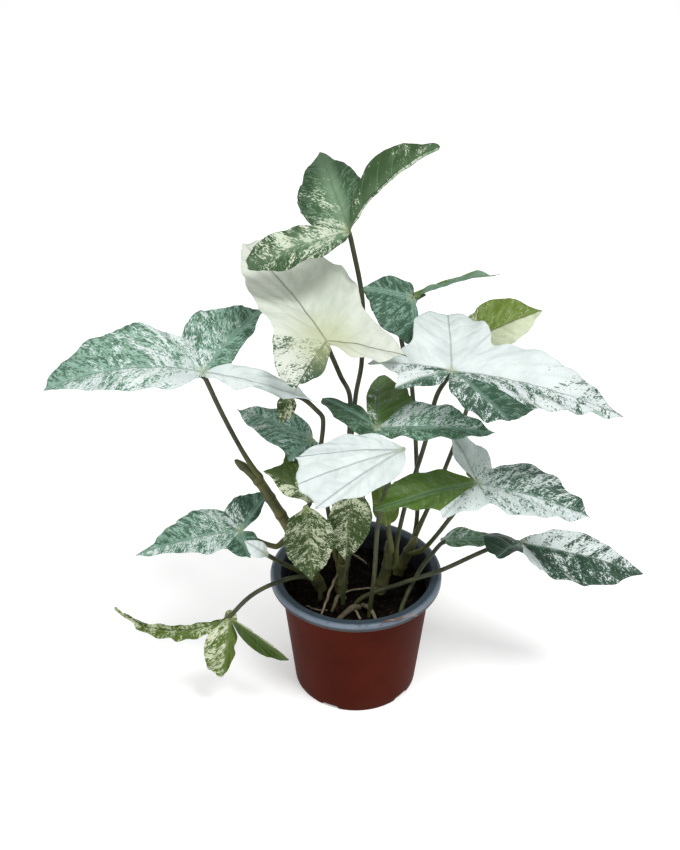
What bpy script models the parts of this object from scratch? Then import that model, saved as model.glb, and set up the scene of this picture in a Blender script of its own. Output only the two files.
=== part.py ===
"""Variegated arrowhead plant in a round nursery pot.

The pot stands on the origin, +Z is up and the plant is seen along +Y.
Lengths in this file are millimetres; MM turns them into Blender's metres when a mesh is made.
"""

import math
from collections import namedtuple

import bpy
import numpy as np
from mathutils import Vector, noise

MM = 0.001

# Pot: a thin moulded shell with a turned-over rim, a foot ring and drain holes
POT_HEIGHT = 100.0
RIM_RADIUS = 65.0
RIM_DEPTH = 5.5
RIM_CURVE = 2.0
POT_WALL = 1.4
WALL_TOP_RADIUS = 58.0
BASE_RADIUS = 47.5
FLOOR_UNDERSIDE = 3.0
FLOOR_THICKNESS = 1.8
FOOT_WIDTH = 4.5
CENTRE_DRAIN_RADIUS = 5.0
POT_SEGMENTS = 40
FOOT_NOTCHES = 5
NOTCH_WIDTH = 13.0
NOTCH_HEIGHT = 2.4
FIRST_NOTCH_DEG = 246.0
DRAIN_HOLES = 6
DRAIN_RADIUS = 4.0
DRAIN_CIRCLE = 27.0
FIRST_DRAIN_DEG = 34.5

# Potting mix: fills the pot to this level, a little higher in the middle
SOIL_LEVEL = 79.0
SOIL_MOUND = 4.0
SOIL_BUMP = 2.4
SOIL_BUMP_SIZE = 13.0
SOIL_RINGS = 7
SOIL_SPOKES = 36
BURIED_TO = 56.0

# Clearance between pieces that touch on the real plant
GAP = 0.35

# Blade: one sheet with a lobe for each direction it grows in
BLADE_THICKNESS = 0.8
EDGE_STEP = 13.0
FEWEST_RAYS = 14
BLADE_RINGS = (0.34, 0.7, 1.0)
LOBE_RISE = 0.66
LOBE_MERGE = 4.0
SMALLEST_REACH = 2.2
SINUS_HALF_ANGLE = math.radians(34.0)
RAY_GAP = math.radians(50.0)

# Petiole: a round leaf stalk that widens into a sheath at its foot
PETIOLE_RADIUS = 1.7
SHEATH_RADIUS = 2.7
SHEATH_LENGTH = 40.0
PETIOLE_SIDES = 6
MIDRIB_REACH = 10.0
UNDER_BLADE = 1.3
AXIL_RISE = 5.0
PATH_TOLERANCE = 0.35

# Stem: a short jointed shoot with a swelling at each node
STEM_SIDES = 8
NODE_SPACING = 17.0
NODE_SWELL = 0.55

Stem = namedtuple("Stem", "name route radii")
Lobe = namedtuple("Lobe", "tip left right bend fold roll widest", defaults=(18.0, 10.0, 0.0, 0.38))
Leaf = namedtuple("Leaf", "name at lobes foot stalk colour face web rear", defaults=(None, 0.16, None))

STEMS = (
    Stem("stem_left", ((-20, 1, 56), (-26, 0, 80), (-38, 0, 109), (-50, 0, 139), (-61, 0, 162),
                       (-72, 0, 183), (-87, -1, 200)), (5.0, 4.6, 4.4, 4.2, 4.0, 3.8, 2.2)),
    Stem("stem_centre", ((-8, -3, 56), (-11, -3, 84), (-9, -2, 110), (-4, 0, 138)),
         (4.8, 4.8, 4.4, 2.6)),
    Stem("stem_right", ((16, -3, 56), (19, -3, 84), (24, -3, 108), (24, -6, 132)),
         (4.6, 4.6, 4.2, 2.6)),
    Stem("stem_back", ((30, 20, 56), (34, 18, 84), (40, 16, 104), (46, 14, 120)),
         (4.4, 4.4, 4.0, 2.4)),
)

GREEN = (0.10, 0.22, 0.13)
TEAL = (0.14, 0.27, 0.20)
WHITE = (0.80, 0.82, 0.74)
LIME = (0.36, 0.40, 0.14)
MOTTLED = (0.34, 0.40, 0.24)
DRY = (0.35, 0.27, 0.17)

LEAVES = (
    Leaf("leaf_top", (-6, 25, 363),
         (Lobe((-26, 94, 394), 26, 20), Lobe((-71, -10, 353), 19, 16, 18, widest=0.55),
          Lobe((53, 35, 416), 21, 1, 60, widest=0.52)),
         ("stem_centre", 112), ((-8, 10, 157), (-1, 16, 243), (3, 18, 269), (3, 21, 316)), GREEN,
         web=0.1),
    Leaf("leaf_white_large", (-21, -25, 308),
         (Lobe((-80, 70, 337), 30, 42), Lobe((30, -20, 294), 19, 20),
          Lobe((-38, -55, 293), 10, 17, widest=0.55)),
         ("stem_centre", 128), ((-12, -6, 150), (-8, -2, 190), (-5, 6, 246), (-12, -6, 272)), WHITE,
         web=0.3, rear=180),
    Leaf("leaf_far_left", (-103, -20, 282),
         (Lobe((-206, -42, 282), 24, 34, 48), Lobe((-26, -50, 275), 11, 8, 24),
          Lobe((-66, 35, 303), 31, 13, 26)),
         ("stem_left", 180), ((-73, -3, 192), (-82, -6, 213), (-93, -14, 247)), GREEN),
    Leaf("leaf_mid_left", (-32, 20, 204),
         (Lobe((-89, 45, 214), 20, 14), Lobe((-49, 0, 199), 14, 16)),
         ("stem_centre", 96), ((-16, 14, 134), (-19, 14, 184)), TEAL),
    Leaf("leaf_low_left", (-86, -5, 140),
         (Lobe((-158, -35, 139), 15, 21, 30, widest=0.32), Lobe((-77, -30, 135), 12, 14),
          Lobe((-66, 25, 154), 16, 5)),
         ("stem_left", 128), ((-60, -8, 128),), GREEN, web=0.24),
    Leaf("leaf_white_centre", (29, -52, 241),
         (Lobe((-25, -97, 228), 17, 22), Lobe((-37, -62, 242), 16, 12),
          Lobe((-32, -80, 235), 12, 12, widest=0.6)),
         ("soil", (10, -31)), ((13, -31, 122), (15, -29, 166), (22, -38, 210)), WHITE),
    Leaf("leaf_dark_centre", (13, -30, 245),
         (Lobe((91, -45, 250), 22, 18), Lobe((15, 35, 250), 19, 23), Lobe((-27, -5, 256), 18, 9)),
         ("soil", (-10, -20)), ((-8, -20, 112), (-2, -18, 145), (4, -18, 180), (9, -20, 216)),
         GREEN),
    Leaf("leaf_right_large", (62, -20, 283),
         (Lobe((173, -45, 261), 33, 27, 26), Lobe((64, 45, 292), 26, 28, widest=0.6),
          Lobe((7, -10, 284), 12, 18), Lobe((24, -38, 281), 20, 12),
          Lobe((92, -71, 275), 21, 34, widest=0.6)),
         ("stem_right", 104), ((30, -4, 126), (36, -4, 165), (48, -2, 215), (54, -6, 255)), WHITE, rear=-110),
    Leaf("leaf_back", (39, 48, 304),
         (Lobe((104, 75, 310), 14, 14, 18, 10, -70), Lobe((3, 45, 313), 26, 12),
          Lobe((40, 15, 281), 3, 26)),
         ("stem_back", 92), ((45, 25, 111), (47, 30, 139), (40, 38, 239), (31, 45, 281)), TEAL, rear=-50),
    Leaf("leaf_back_lime", (88, 55, 269),
         (Lobe((133, 60, 288), 22, 18), Lobe((75, 72, 275), 12, 16)),
         ("stem_back", 108), ((64, 35, 158), (84, 50, 220)), LIME),
    Leaf("leaf_right_mid", (84, -25, 196),
         (Lobe((161, -50, 185), 26, 26), Lobe((69, 25, 207), 9, 16), Lobe((11, -60, 198), 14, 24),
          Lobe((60, -55, 190), 16, 16)),
         ("stem_back", 104), ((52, 0, 121), (73, -20, 173)), GREEN),
    Leaf("leaf_right_low", (123, -5, 129),
         (Lobe((208, -34, 123), 17, 30, roll=35, widest=0.4), Lobe((101, -32, 139), 12, 20, widest=0.6),
          Lobe((131, -40, 135), 12, 12)),
         ("soil", (1, -19)), ((32, -21, 103), (62, -20, 115), (92, -10, 124), (104, -8, 128)),
         GREEN),
    Leaf("leaf_right_small", (67, 20, 113),
         (Lobe((110, 20, 112), 10, 10),),
         ("soil", (33, -30)), ((38, -22, 94), (48, -8, 106), (60, 8, 112)), TEAL, (-0.1, -0.2, 0.97)),
    Leaf("leaf_over_rim", (-94, -35, 83),
         (Lobe((-174, -50, 105), 10, 4, -110, roll=48), Lobe((-100, -50, 37), 11, 17, widest=0.5),
          Lobe((-46, -62, 63), 1, 20, -20, roll=0, widest=0.5)),
         ("soil", (-27, -12)), ((-27, -12, 95), (-41, -20, 109), (-62, -35, 114), (-78, -38, 105)),
         LIME, web=0.06, rear=122),
    Leaf("leaf_inner_left", (-31, -20, 179),
         (Lobe((-66, -15, 200), 12, 12), Lobe((-52, 10, 200), 12, 12)),
         ("stem_left", 140), ((-42, -12, 158),), GREEN),
    Leaf("leaf_hanging_left", (-36, -40, 186),
         (Lobe((-32, -45, 126), 18, 18),),
         ("stem_left", 100), ((-34, -20, 130), (-34, -36, 172)), MOTTLED, (0.1, -0.95, 0.3)),
    Leaf("leaf_hanging_centre", (-4, -30, 194),
         (Lobe((-8, -30, 133), 16, 16),),
         ("stem_centre", 108), ((-10, -12, 155), (-9, -24, 184)), MOTTLED, (0.1, -0.95, 0.3)),
    Leaf("leaf_young", (23, -10, 150),
         (Lobe((15, -10, 201), 10, 10),),
         ("stem_right", 122), ((24, -8, 140),), LIME, (0.2, -0.95, 0.2)),
    Leaf("leaf_dry", (-47, -8, 258),
         (Lobe((-52, -14, 239), 7, 7),),
         ("stem_centre", 106), ((-20, 4, 145), (-26, 2, 200), (-24, -2, 235), (-29, -4, 244),
                                (-38, -6, 254)), DRY, (0.1, -0.9, 0.4)),
    Leaf("leaf_small_white", (-64, -42, 147),
         (Lobe((-80, -42, 159), 6, 6),),
         ("stem_left", 96), ((-52, -22, 122),), WHITE, (0.2, -0.7, 0.7)),
)


def unit(vector):
    return np.asarray(vector, float) / np.linalg.norm(vector)


def material(name, colour, roughness):
    """A plain Principled material with the colour the eye first meets."""
    made = bpy.data.materials.new(name)
    made.use_nodes = True
    shader = made.node_tree.nodes["Principled BSDF"]
    shader.inputs["Base Color"].default_value = (*colour, 1.0)
    shader.inputs["Roughness"].default_value = roughness
    shader.inputs["Metallic"].default_value = 0.0
    return made


def mesh_object(name, points, faces, finish=None):
    """A smooth-shaded object whose points are given in millimetres."""
    mesh = bpy.data.meshes.new(name)
    mesh.from_pydata([tuple(float(v) * MM for v in point) for point in points], [], faces)
    mesh.validate()
    mesh.shade_smooth()
    made = bpy.data.objects.new(name, mesh)
    bpy.context.scene.collection.objects.link(made)
    if finish:
        mesh.materials.append(finish)
    return made


def cut_or_join(target, tool, operation):
    """Apply one Boolean to the target and remove the tool."""
    change = target.modifiers.new(operation.title(), "BOOLEAN")
    change.operation = operation
    change.object = tool
    bpy.context.view_layer.update()
    evaluated = target.evaluated_get(bpy.context.evaluated_depsgraph_get())
    result = bpy.data.meshes.new_from_object(evaluated)
    target.modifiers.clear()
    target.data = result
    bpy.data.objects.remove(tool)


def turned(name, profile, segments, finish=None):
    """A closed ring turned about Z from a closed (radius, height) profile."""
    points = []
    faces = []
    count = len(profile)
    for turn in range(segments):
        angle = math.tau * turn / segments
        points += [(r * math.cos(angle), r * math.sin(angle), z) for r, z in profile]
        near = turn * count
        far = (turn + 1) % segments * count
        for k in range(count):
            after = (k + 1) % count
            faces.append((near + k, near + after, far + after, far + k))
    return mesh_object(name, points, faces, finish)


def quarter_turn(centre, radius, start_deg, steps):
    """Points of a 90 degree arc in the profile plane, clockwise from the start."""
    angles = [math.radians(start_deg - 90.0 * k / steps) for k in range(steps + 1)]
    return [(centre[0] + radius * math.cos(a), centre[1] + radius * math.sin(a)) for a in angles]


def wall_radius(z):
    """Outer radius of the pot's wall, which tapers evenly from rim to base."""
    return BASE_RADIUS + (WALL_TOP_RADIUS - BASE_RADIUS) * z / POT_HEIGHT


def make_pot():
    top = POT_HEIGHT
    skirt_inside = RIM_RADIUS - POT_WALL
    floor_top = FLOOR_UNDERSIDE + FLOOR_THICKNESS
    wall_inside = wall_radius(top) - POT_WALL
    profile = quarter_turn((wall_inside + RIM_CURVE, top - RIM_CURVE), RIM_CURVE, 180.0, 3)
    profile += quarter_turn((RIM_RADIUS - RIM_CURVE, top - RIM_CURVE), RIM_CURVE, 90.0, 3)
    profile += [(RIM_RADIUS, top - RIM_DEPTH), (skirt_inside, top - RIM_DEPTH),
                (skirt_inside, top - RIM_CURVE), (wall_radius(top) + POT_WALL, top - POT_WALL),
                (wall_radius(top), top - RIM_CURVE - POT_WALL), (wall_radius(0.0), 0.0),
                (wall_radius(0.0) - FOOT_WIDTH, 0.0),
                (wall_radius(0.0) - FOOT_WIDTH - POT_WALL, FLOOR_UNDERSIDE),
                (CENTRE_DRAIN_RADIUS, FLOOR_UNDERSIDE), (CENTRE_DRAIN_RADIUS, floor_top),
                (wall_radius(floor_top) - POT_WALL, floor_top)]
    pot = turned("pot", profile[::-1], POT_SEGMENTS, material("pot_plastic", (0.25, 0.05, 0.03), 0.45))
    for k in range(DRAIN_HOLES):
        angle = math.radians(FIRST_DRAIN_DEG) + math.tau * k / DRAIN_HOLES
        hole = cylinder("drain_cutter", DRAIN_RADIUS, 12, -1.0, floor_top + 2.0)
        hole.location = (DRAIN_CIRCLE * math.cos(angle) * MM, DRAIN_CIRCLE * math.sin(angle) * MM, 0.0)
        cut_or_join(pot, hole, "DIFFERENCE")
    for k in range(FOOT_NOTCHES):
        angle = math.radians(FIRST_NOTCH_DEG) + math.tau * k / FOOT_NOTCHES
        notch = box("notch_cutter", (BASE_RADIUS - 8.0, -NOTCH_WIDTH / 2, -1.0),
                    (BASE_RADIUS + 4.0, NOTCH_WIDTH / 2, NOTCH_HEIGHT))
        notch.rotation_euler.z = angle
        cut_or_join(pot, notch, "DIFFERENCE")
    return pot


def cylinder(name, radius, sides, low, high):
    points = [(radius * math.cos(math.tau * k / sides), radius * math.sin(math.tau * k / sides), z)
              for z in (low, high) for k in range(sides)]
    faces = [tuple(range(sides))[::-1], tuple(range(sides, 2 * sides))]
    faces += [(k, (k + 1) % sides, sides + (k + 1) % sides, sides + k) for k in range(sides)]
    return mesh_object(name, points, faces)


def box(name, low, high):
    points = [(x, y, z) for z in (low[2], high[2]) for y in (low[1], high[1]) for x in (low[0], high[0])]
    faces = [(0, 2, 3, 1), (4, 5, 7, 6), (0, 1, 5, 4), (2, 6, 7, 3), (0, 4, 6, 2), (1, 3, 7, 5)]
    return mesh_object(name, points, faces)


def soil_height(x, y):
    """Level of the potting mix, mounded to the middle and lumpy."""
    away = math.hypot(x, y) / WALL_TOP_RADIUS
    lump = noise.noise(Vector((x, y, 0.0)) / SOIL_BUMP_SIZE)
    return SOIL_LEVEL + SOIL_MOUND * (1.0 - away * away) + SOIL_BUMP * lump


def make_soil():
    """Potting mix with a lumpy top, clear of the pot's wall and floor by the gap."""
    floor = FLOOR_UNDERSIDE + FLOOR_THICKNESS + GAP
    points = [(0.0, 0.0, floor), (0.0, 0.0, soil_height(0.0, 0.0))]
    rings = []

    def ring(radius, height=None):
        start = len(points)
        for k in range(SOIL_SPOKES):
            angle = math.tau * (k + 0.5) / SOIL_SPOKES
            x = radius * math.cos(angle)
            y = radius * math.sin(angle)
            points.append((x, y, soil_height(x, y) if height is None else height))
        rings.append(start)

    facet_inset = math.cos(math.pi / POT_SEGMENTS)
    edge_top = (wall_radius(SOIL_LEVEL - SOIL_BUMP) - POT_WALL) * facet_inset - GAP
    edge_floor = (wall_radius(floor) - POT_WALL) * facet_inset - GAP
    for k in range(1, SOIL_RINGS + 1):
        ring(edge_top * k / SOIL_RINGS)
    ring(edge_floor, floor)
    faces = []
    for k in range(SOIL_SPOKES):
        after = (k + 1) % SOIL_SPOKES
        faces.append((1, rings[0] + k, rings[0] + after))
        faces.append((0, rings[-1] + after, rings[-1] + k))
        for inner, outer in zip(rings, rings[1:]):
            faces.append((inner + k, outer + k, outer + after))
            faces.append((inner + k, outer + after, inner + after))
    return mesh_object("potting_mix", points, faces, material("potting_mix", (0.035, 0.026, 0.02), 0.95))


def smooth_route(route):
    """A fine line on one smooth curve through the route's points."""
    route = [np.asarray(point, float) for point in route]
    padded = [2 * route[0] - route[1], *route, 2 * route[-1] - route[-2]]
    line = []
    for a, b, c, d in zip(padded, padded[1:], padded[2:], padded[3:]):
        reach = np.linalg.norm(c - b)
        leave = (c - a) / (np.linalg.norm(c - b) + np.linalg.norm(b - a)) * reach
        arrive = (d - b) / (np.linalg.norm(d - c) + np.linalg.norm(c - b)) * reach
        steps = max(2, round(reach))
        for k in range(steps):
            t = k / steps
            line.append((2 * t**3 - 3 * t**2 + 1) * b + (t**3 - 2 * t**2 + t) * leave
                        + (3 * t**2 - 2 * t**3) * c + (t**3 - t**2) * arrive)
    line.append(route[-1])
    return np.array(line)


def along(line):
    """Distance of each point of a line from its start."""
    return np.concatenate([[0.0], np.cumsum(np.linalg.norm(np.diff(line, axis=0), axis=1))])


def thinned(line, tolerance):
    """Indices of the points that a line needs to stay within the tolerance."""
    if len(line) < 3:
        return [0, len(line) - 1]
    chord = unit(line[-1] - line[0])
    away = line - line[0]
    away = np.linalg.norm(away - np.outer(away @ chord, chord), axis=1)
    worst = int(away.argmax())
    if away[worst] < tolerance:
        return [0, len(line) - 1]
    before = thinned(line[:worst + 1], tolerance)
    return before[:-1] + [worst + k for k in thinned(line[worst:], tolerance)]


def tube(name, line, radii, sides, finish=None):
    """A closed round tube along a line, with a radius for each of its points."""
    tangents = np.gradient(line, axis=0)
    side = unit(np.cross(tangents[0], (0.3, 1.0, 0.1)))
    points = []
    faces = []
    for k, (centre, tangent, radius) in enumerate(zip(line, tangents, radii)):
        tangent = unit(tangent)
        side = unit(side - (side @ tangent) * tangent)
        other = np.cross(tangent, side)
        for turn in range(sides):
            angle = math.tau * turn / sides
            points.append(centre + radius * (math.cos(angle) * side + math.sin(angle) * other))
        if k:
            low = (k - 1) * sides
            faces += [(low + n, low + (n + 1) % sides, low + sides + (n + 1) % sides, low + sides + n)
                      for n in range(sides)]
    last = len(points) - sides
    faces += [tuple(range(sides))[::-1], tuple(range(last, last + sides))]
    return mesh_object(name, points, faces, finish)


class Shoot:
    """A stem's smooth centre line with its thickness, seen by the leaves that grow from it."""

    def __init__(self, stem):
        self.name = stem.name
        self.line = smooth_route(stem.route)
        distance = along(self.line)
        stops = [int(np.linalg.norm(self.line - np.array(p), axis=1).argmin()) for p in stem.route]
        self.radii = np.interp(distance, distance[stops], stem.radii)

    def at_height(self, z):
        return int(np.abs(self.line[:, 2] - z).argmin())

    def solid(self, name, extra=0.0, finish=None):
        """The stem as a solid with its nodes swollen, or a copy of it grown by a clearance."""
        distance = along(self.line)
        swell = NODE_SWELL * np.cos(math.pi * distance / NODE_SPACING) ** 8
        picked = [int(np.abs(distance - d).argmin())
                  for d in np.arange(0.0, distance[-1] + 1.0, NODE_SPACING / 4)]
        picked = sorted(set(picked) | {len(distance) - 1})
        line = self.line[picked].copy()
        if extra:
            line[0] -= unit(line[1] - line[0]) * extra
            line[-1] += unit(line[-1] - line[-2]) * extra
        return tube(name, line, (self.radii + swell)[picked] + extra, STEM_SIDES, finish)


class Blade:
    """The leaf's sheet: where its edge lies, and where each flat point is in space.

    A flat point is an angle about the leaf's attachment and a distance from it. Each lobe is an
    arc through space that its midrib follows, and between two lobes the sheet follows both.
    """

    def __init__(self, leaf):
        self.at = np.array(leaf.at, float)
        chords = np.array([lobe.tip for lobe in leaf.lobes], float) - self.at
        self.face = self.facing(chords) if leaf.face is None else unit(leaf.face)
        ahead = unit(chords[0] - (chords[0] @ self.face) * self.face)
        left = np.cross(self.face, ahead)
        self.left = np.array([lobe.left for lobe in leaf.lobes], float)
        self.right = np.array([lobe.right for lobe in leaf.lobes], float)
        self.fold = np.radians([lobe.fold for lobe in leaf.lobes])
        self.widest = np.array([lobe.widest for lobe in leaf.lobes])
        self.heading = np.arctan2(chords @ left, chords @ ahead)
        self.length = []
        self.start = []
        self.rise = []
        self.across = []
        self.bend = []
        for lobe, chord in zip(leaf.lobes, chords):
            span = np.linalg.norm(chord)
            chord = chord / span
            up = unit(self.face - (self.face @ chord) * chord)
            roll = math.radians(lobe.roll)
            up = up * math.cos(roll) + np.cross(chord, up) * math.sin(roll)
            half = math.radians(lobe.bend or 1.0) / 2
            self.length.append(span * half / math.sin(half))
            self.start.append(chord * math.cos(half) + up * math.sin(half))
            self.rise.append(up * math.cos(half) - chord * math.sin(half))
            self.across.append(np.cross(up, chord))
            self.bend.append(2 * half / self.length[-1])
        self.length = np.array(self.length)
        self.web = leaf.web * self.length[0] if len(leaf.lobes) > 1 else 0.0
        stalk = np.array(leaf.stalk[-1], float) - self.at
        arrival = math.atan2(stalk @ left, stalk @ ahead) if leaf.rear is None else math.radians(leaf.rear)
        self.rear, self.rear_half = self.space_holding(arrival)

    @staticmethod
    def facing(chords):
        """The side that looks up and to the front, square to the lobes as a whole."""
        face = np.linalg.svd(chords)[2][-1]
        return face if face @ (0.0, -0.6, 0.8) > 0 else -face

    def lobe_reaches(self, angle):
        """How far each lobe alone reaches in the direction of each angle."""
        taper = LOBE_RISE * (1 - self.widest) / self.widest
        off = (np.atleast_1d(angle)[:, None] - self.heading + math.pi) % math.tau - math.pi
        width = np.where(off > 0, self.left, self.right)
        off = np.abs(off)
        ahead = off < math.pi / 2 - 0.01
        slope = np.tan(np.where(ahead, off, 0.0))
        low = np.zeros_like(off)
        high = np.ones_like(off)
        for _ in range(40):
            x = (low + high) / 2
            half_width = width * (x / self.widest) ** LOBE_RISE * ((1 - x) / (1 - self.widest)) ** taper
            outside = slope * self.length * x > half_width
            high = np.where(outside, x, high)
            low = np.where(outside, low, x)
        return np.where(ahead, low * self.length / np.cos(np.where(ahead, off, 0.0)), 0.0)

    def reach(self, angle):
        """Distance from the attachment to the edge, cut back between the rear lobes."""
        off = np.abs((np.atleast_1d(angle) - self.rear + math.pi) % math.tau - math.pi)
        web = np.where(off > self.rear_half, self.web, 0.0)
        lobes = (self.lobe_reaches(angle) ** LOBE_MERGE).sum(1)
        together = (lobes + web ** LOBE_MERGE) ** (1 / LOBE_MERGE)
        together = together * np.minimum(off / SINUS_HALF_ANGLE, 1.0) ** 0.5
        return np.maximum(together, SMALLEST_REACH)

    def space_holding(self, angle):
        """Middle and half the width of the space between two lobes that holds an angle."""
        order = np.sort(self.heading % math.tau)
        after = int(np.searchsorted(order, angle % math.tau)) % len(order)
        space = (order[after] - order[after - 1]) % math.tau or math.tau
        return order[after] - space / 2, space / 2

    def place(self, angle, distance):
        """Points in space of the flat points, on the sheet's middle surface."""
        share = (self.lobe_reaches(angle) + 1.0) ** LOBE_MERGE
        share /= share.sum(1)[:, None]
        total = np.zeros((len(angle), 3))
        for k in range(len(self.length)):
            ahead = distance * np.cos(angle - self.heading[k])
            aside = distance * np.sin(angle - self.heading[k])
            lift = np.abs(aside) * math.sin(self.fold[k])
            turn = np.maximum(ahead, 0.0) * self.bend[k]
            forward = np.sin(turn) / self.bend[k] + np.minimum(ahead, 0.0)
            drop = (1 - np.cos(turn)) / self.bend[k]
            up = np.outer(np.cos(turn), self.rise[k]) + np.outer(np.sin(turn), self.start[k])
            spot = self.at + np.outer(forward, self.start[k]) - np.outer(drop, self.rise[k])
            spot = spot + np.outer(aside * math.cos(self.fold[k]), self.across[k]) + lift[:, None] * up
            total += share[:, k:k + 1] * spot
        return total

    def rays(self):
        """Angles of the rays that the mesh is made on: each tip, each notch and steps between."""
        fine = np.linspace(0.0, math.tau, 1441)[:-1] + self.heading.min()
        reach = self.reach(fine)
        tips = [int(np.abs((fine - h + math.pi) % math.tau - math.pi).argmin()) for h in self.heading]
        keys = set(tips)
        order = sorted(tips)
        for a, b in zip(order, order[1:] + [order[0] + len(fine)]):
            between = np.arange(a, b + 1) % len(fine)
            keys.add(int(between[reach[between].argmin()]))
        keys = sorted(keys)
        edge = np.stack([reach * np.cos(fine), reach * np.sin(fine)], 1)
        angles = []
        step = min(EDGE_STEP, along(edge)[-1] / FEWEST_RAYS)
        for a, b in zip(keys, keys[1:] + [keys[0] + len(fine)]):
            between = np.arange(a, b + 1) % len(fine)
            distance = along(edge[between])
            steps = max(1, round(distance[-1] / step))
            picked = [int(np.abs(distance - distance[-1] * k / steps).argmin()) for k in range(steps)]
            angles += [fine[between[k]] for k in picked]
        filled = []
        for a, b in zip(angles, angles[1:] + [angles[0] + math.tau]):
            steps = math.ceil((b - a) % math.tau / RAY_GAP)
            filled += [a + (b - a) % math.tau * k / steps for k in range(steps)]
        return np.array(filled)

    def solid(self, name, finish):
        """The sheet with its thickness, split into the same triangles above and below."""
        angle = self.rays()
        reach = self.reach(angle)
        count = len(angle)
        middle = [self.at]
        for share in BLADE_RINGS:
            middle.extend(self.place(angle, reach * share))
        middle = np.array(middle)
        faces = []
        for k in range(count):
            after = (k + 1) % count
            faces.append((0, 1 + k, 1 + after))
            for ring in range(len(BLADE_RINGS) - 1):
                a = 1 + ring * count
                b = a + count
                faces += [(a + k, b + k, b + after), (a + k, b + after, a + after)]
        normals = np.zeros_like(middle)
        for a, b, c in faces:
            square = np.cross(middle[b] - middle[a], middle[c] - middle[a])
            normals[[a, b, c]] += square
        normals /= np.linalg.norm(normals, axis=1)[:, None]
        points = np.concatenate([middle + normals * BLADE_THICKNESS / 2,
                                 middle - normals * BLADE_THICKNESS / 2])
        under = len(middle)
        edge = 1 + (len(BLADE_RINGS) - 1) * count
        solid = faces + [(under + a, under + c, under + b) for a, b, c in faces]
        for k in range(count):
            a = edge + k
            b = edge + (k + 1) % count
            solid += [(a, under + a, under + b), (a, under + b, b)]
        return mesh_object(name, points, solid, finish)


def petiole_route(leaf, blade, shoots):
    """From the stem or the soil, through the stalk's own points, to under the main midrib."""
    place, where = leaf.foot
    if place == "soil":
        start = [(*where, BURIED_TO), (*where, soil_height(*where) + 2.0)]
    else:
        shoot = shoots[place]
        k = shoot.at_height(where)
        centre = shoot.line[k]
        upward = unit(shoot.line[min(k + 1, len(shoot.line) - 1)] - shoot.line[max(k - 1, 0)])
        aside = np.array(leaf.stalk[0], float) - centre
        aside = unit(aside - (aside @ upward) * upward)
        start = [centre, centre + aside * (shoot.radii[k] + 1.5) + upward * AXIL_RISE]
    midrib = blade.place(np.full(2, blade.heading[0]), np.array([0.0, MIDRIB_REACH]))
    under = blade.at - UNDER_BLADE * blade.face
    finish = midrib[1] - UNDER_BLADE * blade.rise[0]
    line = smooth_route([*start, *leaf.stalk, under])
    back = line[along(line) < along(line)[-1] - MIDRIB_REACH / 2]
    t = np.linspace(0.0, 1.0, 9)[:, None]
    corner = (1 - t) ** 2 * back[-1] + 2 * t * (1 - t) * under + t * t * finish
    return np.concatenate([back[:-1], corner])


def petiole(name, line, extra=0.0):
    """The leaf stalk, which widens towards its foot, or a copy of it grown by a clearance."""
    distance = along(line)
    widen = np.clip(1.0 - distance / SHEATH_LENGTH, 0.0, 1.0) ** 1.5
    radii = PETIOLE_RADIUS + (SHEATH_RADIUS - PETIOLE_RADIUS) * widen + extra
    picked = thinned(line, PATH_TOLERANCE)
    line = line[picked].copy()
    line[0] -= unit(line[1] - line[0]) * extra
    return tube(name, line, radii[picked], PETIOLE_SIDES)


def make_leaf(leaf, shoots):
    """One leaf in one piece, and the hole that its petiole needs in the soil."""
    blade = Blade(leaf)
    made = blade.solid(leaf.name, material(leaf.name, leaf.colour, 0.45))
    line = petiole_route(leaf, blade, shoots)
    cut_or_join(made, petiole("petiole", line), "UNION")
    if leaf.foot[0] == "soil":
        return petiole("petiole_hole", line, GAP)
    cut_or_join(made, shoots[leaf.foot[0]].solid("axil_cutter", GAP), "DIFFERENCE")
    return None


def main():
    for old in list(bpy.data.objects):
        bpy.data.objects.remove(old)
    make_pot()
    soil = make_soil()
    shoots = {stem.name: Shoot(stem) for stem in STEMS}
    for name, shoot in shoots.items():
        shoot.solid(name, 0.0, material(name, (0.16, 0.15, 0.07), 0.6))
        cut_or_join(soil, shoot.solid("stem_hole", GAP), "DIFFERENCE")
    for leaf in LEAVES:
        hole = make_leaf(leaf, shoots)
        if hole:
            cut_or_join(soil, hole, "DIFFERENCE")


if __name__ == "__main__":
    main()
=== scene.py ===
import math

import bpy
import numpy as np
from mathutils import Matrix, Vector, noise


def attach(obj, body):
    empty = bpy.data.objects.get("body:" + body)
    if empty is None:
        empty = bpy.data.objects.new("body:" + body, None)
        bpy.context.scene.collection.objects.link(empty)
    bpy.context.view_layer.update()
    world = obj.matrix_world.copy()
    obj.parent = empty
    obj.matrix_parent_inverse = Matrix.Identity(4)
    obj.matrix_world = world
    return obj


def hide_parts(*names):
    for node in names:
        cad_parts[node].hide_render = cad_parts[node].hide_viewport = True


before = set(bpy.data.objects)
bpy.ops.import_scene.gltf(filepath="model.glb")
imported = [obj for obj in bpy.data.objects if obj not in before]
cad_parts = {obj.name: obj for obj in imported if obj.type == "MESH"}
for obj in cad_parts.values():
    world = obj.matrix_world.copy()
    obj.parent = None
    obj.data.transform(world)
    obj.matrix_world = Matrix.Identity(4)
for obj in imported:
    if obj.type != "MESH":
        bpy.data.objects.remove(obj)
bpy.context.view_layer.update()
scene = bpy.context.scene
mm = 0.001


# Node trees: Link is an output that takes part in Python expressions, Sheet adds nodes to a tree

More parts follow.
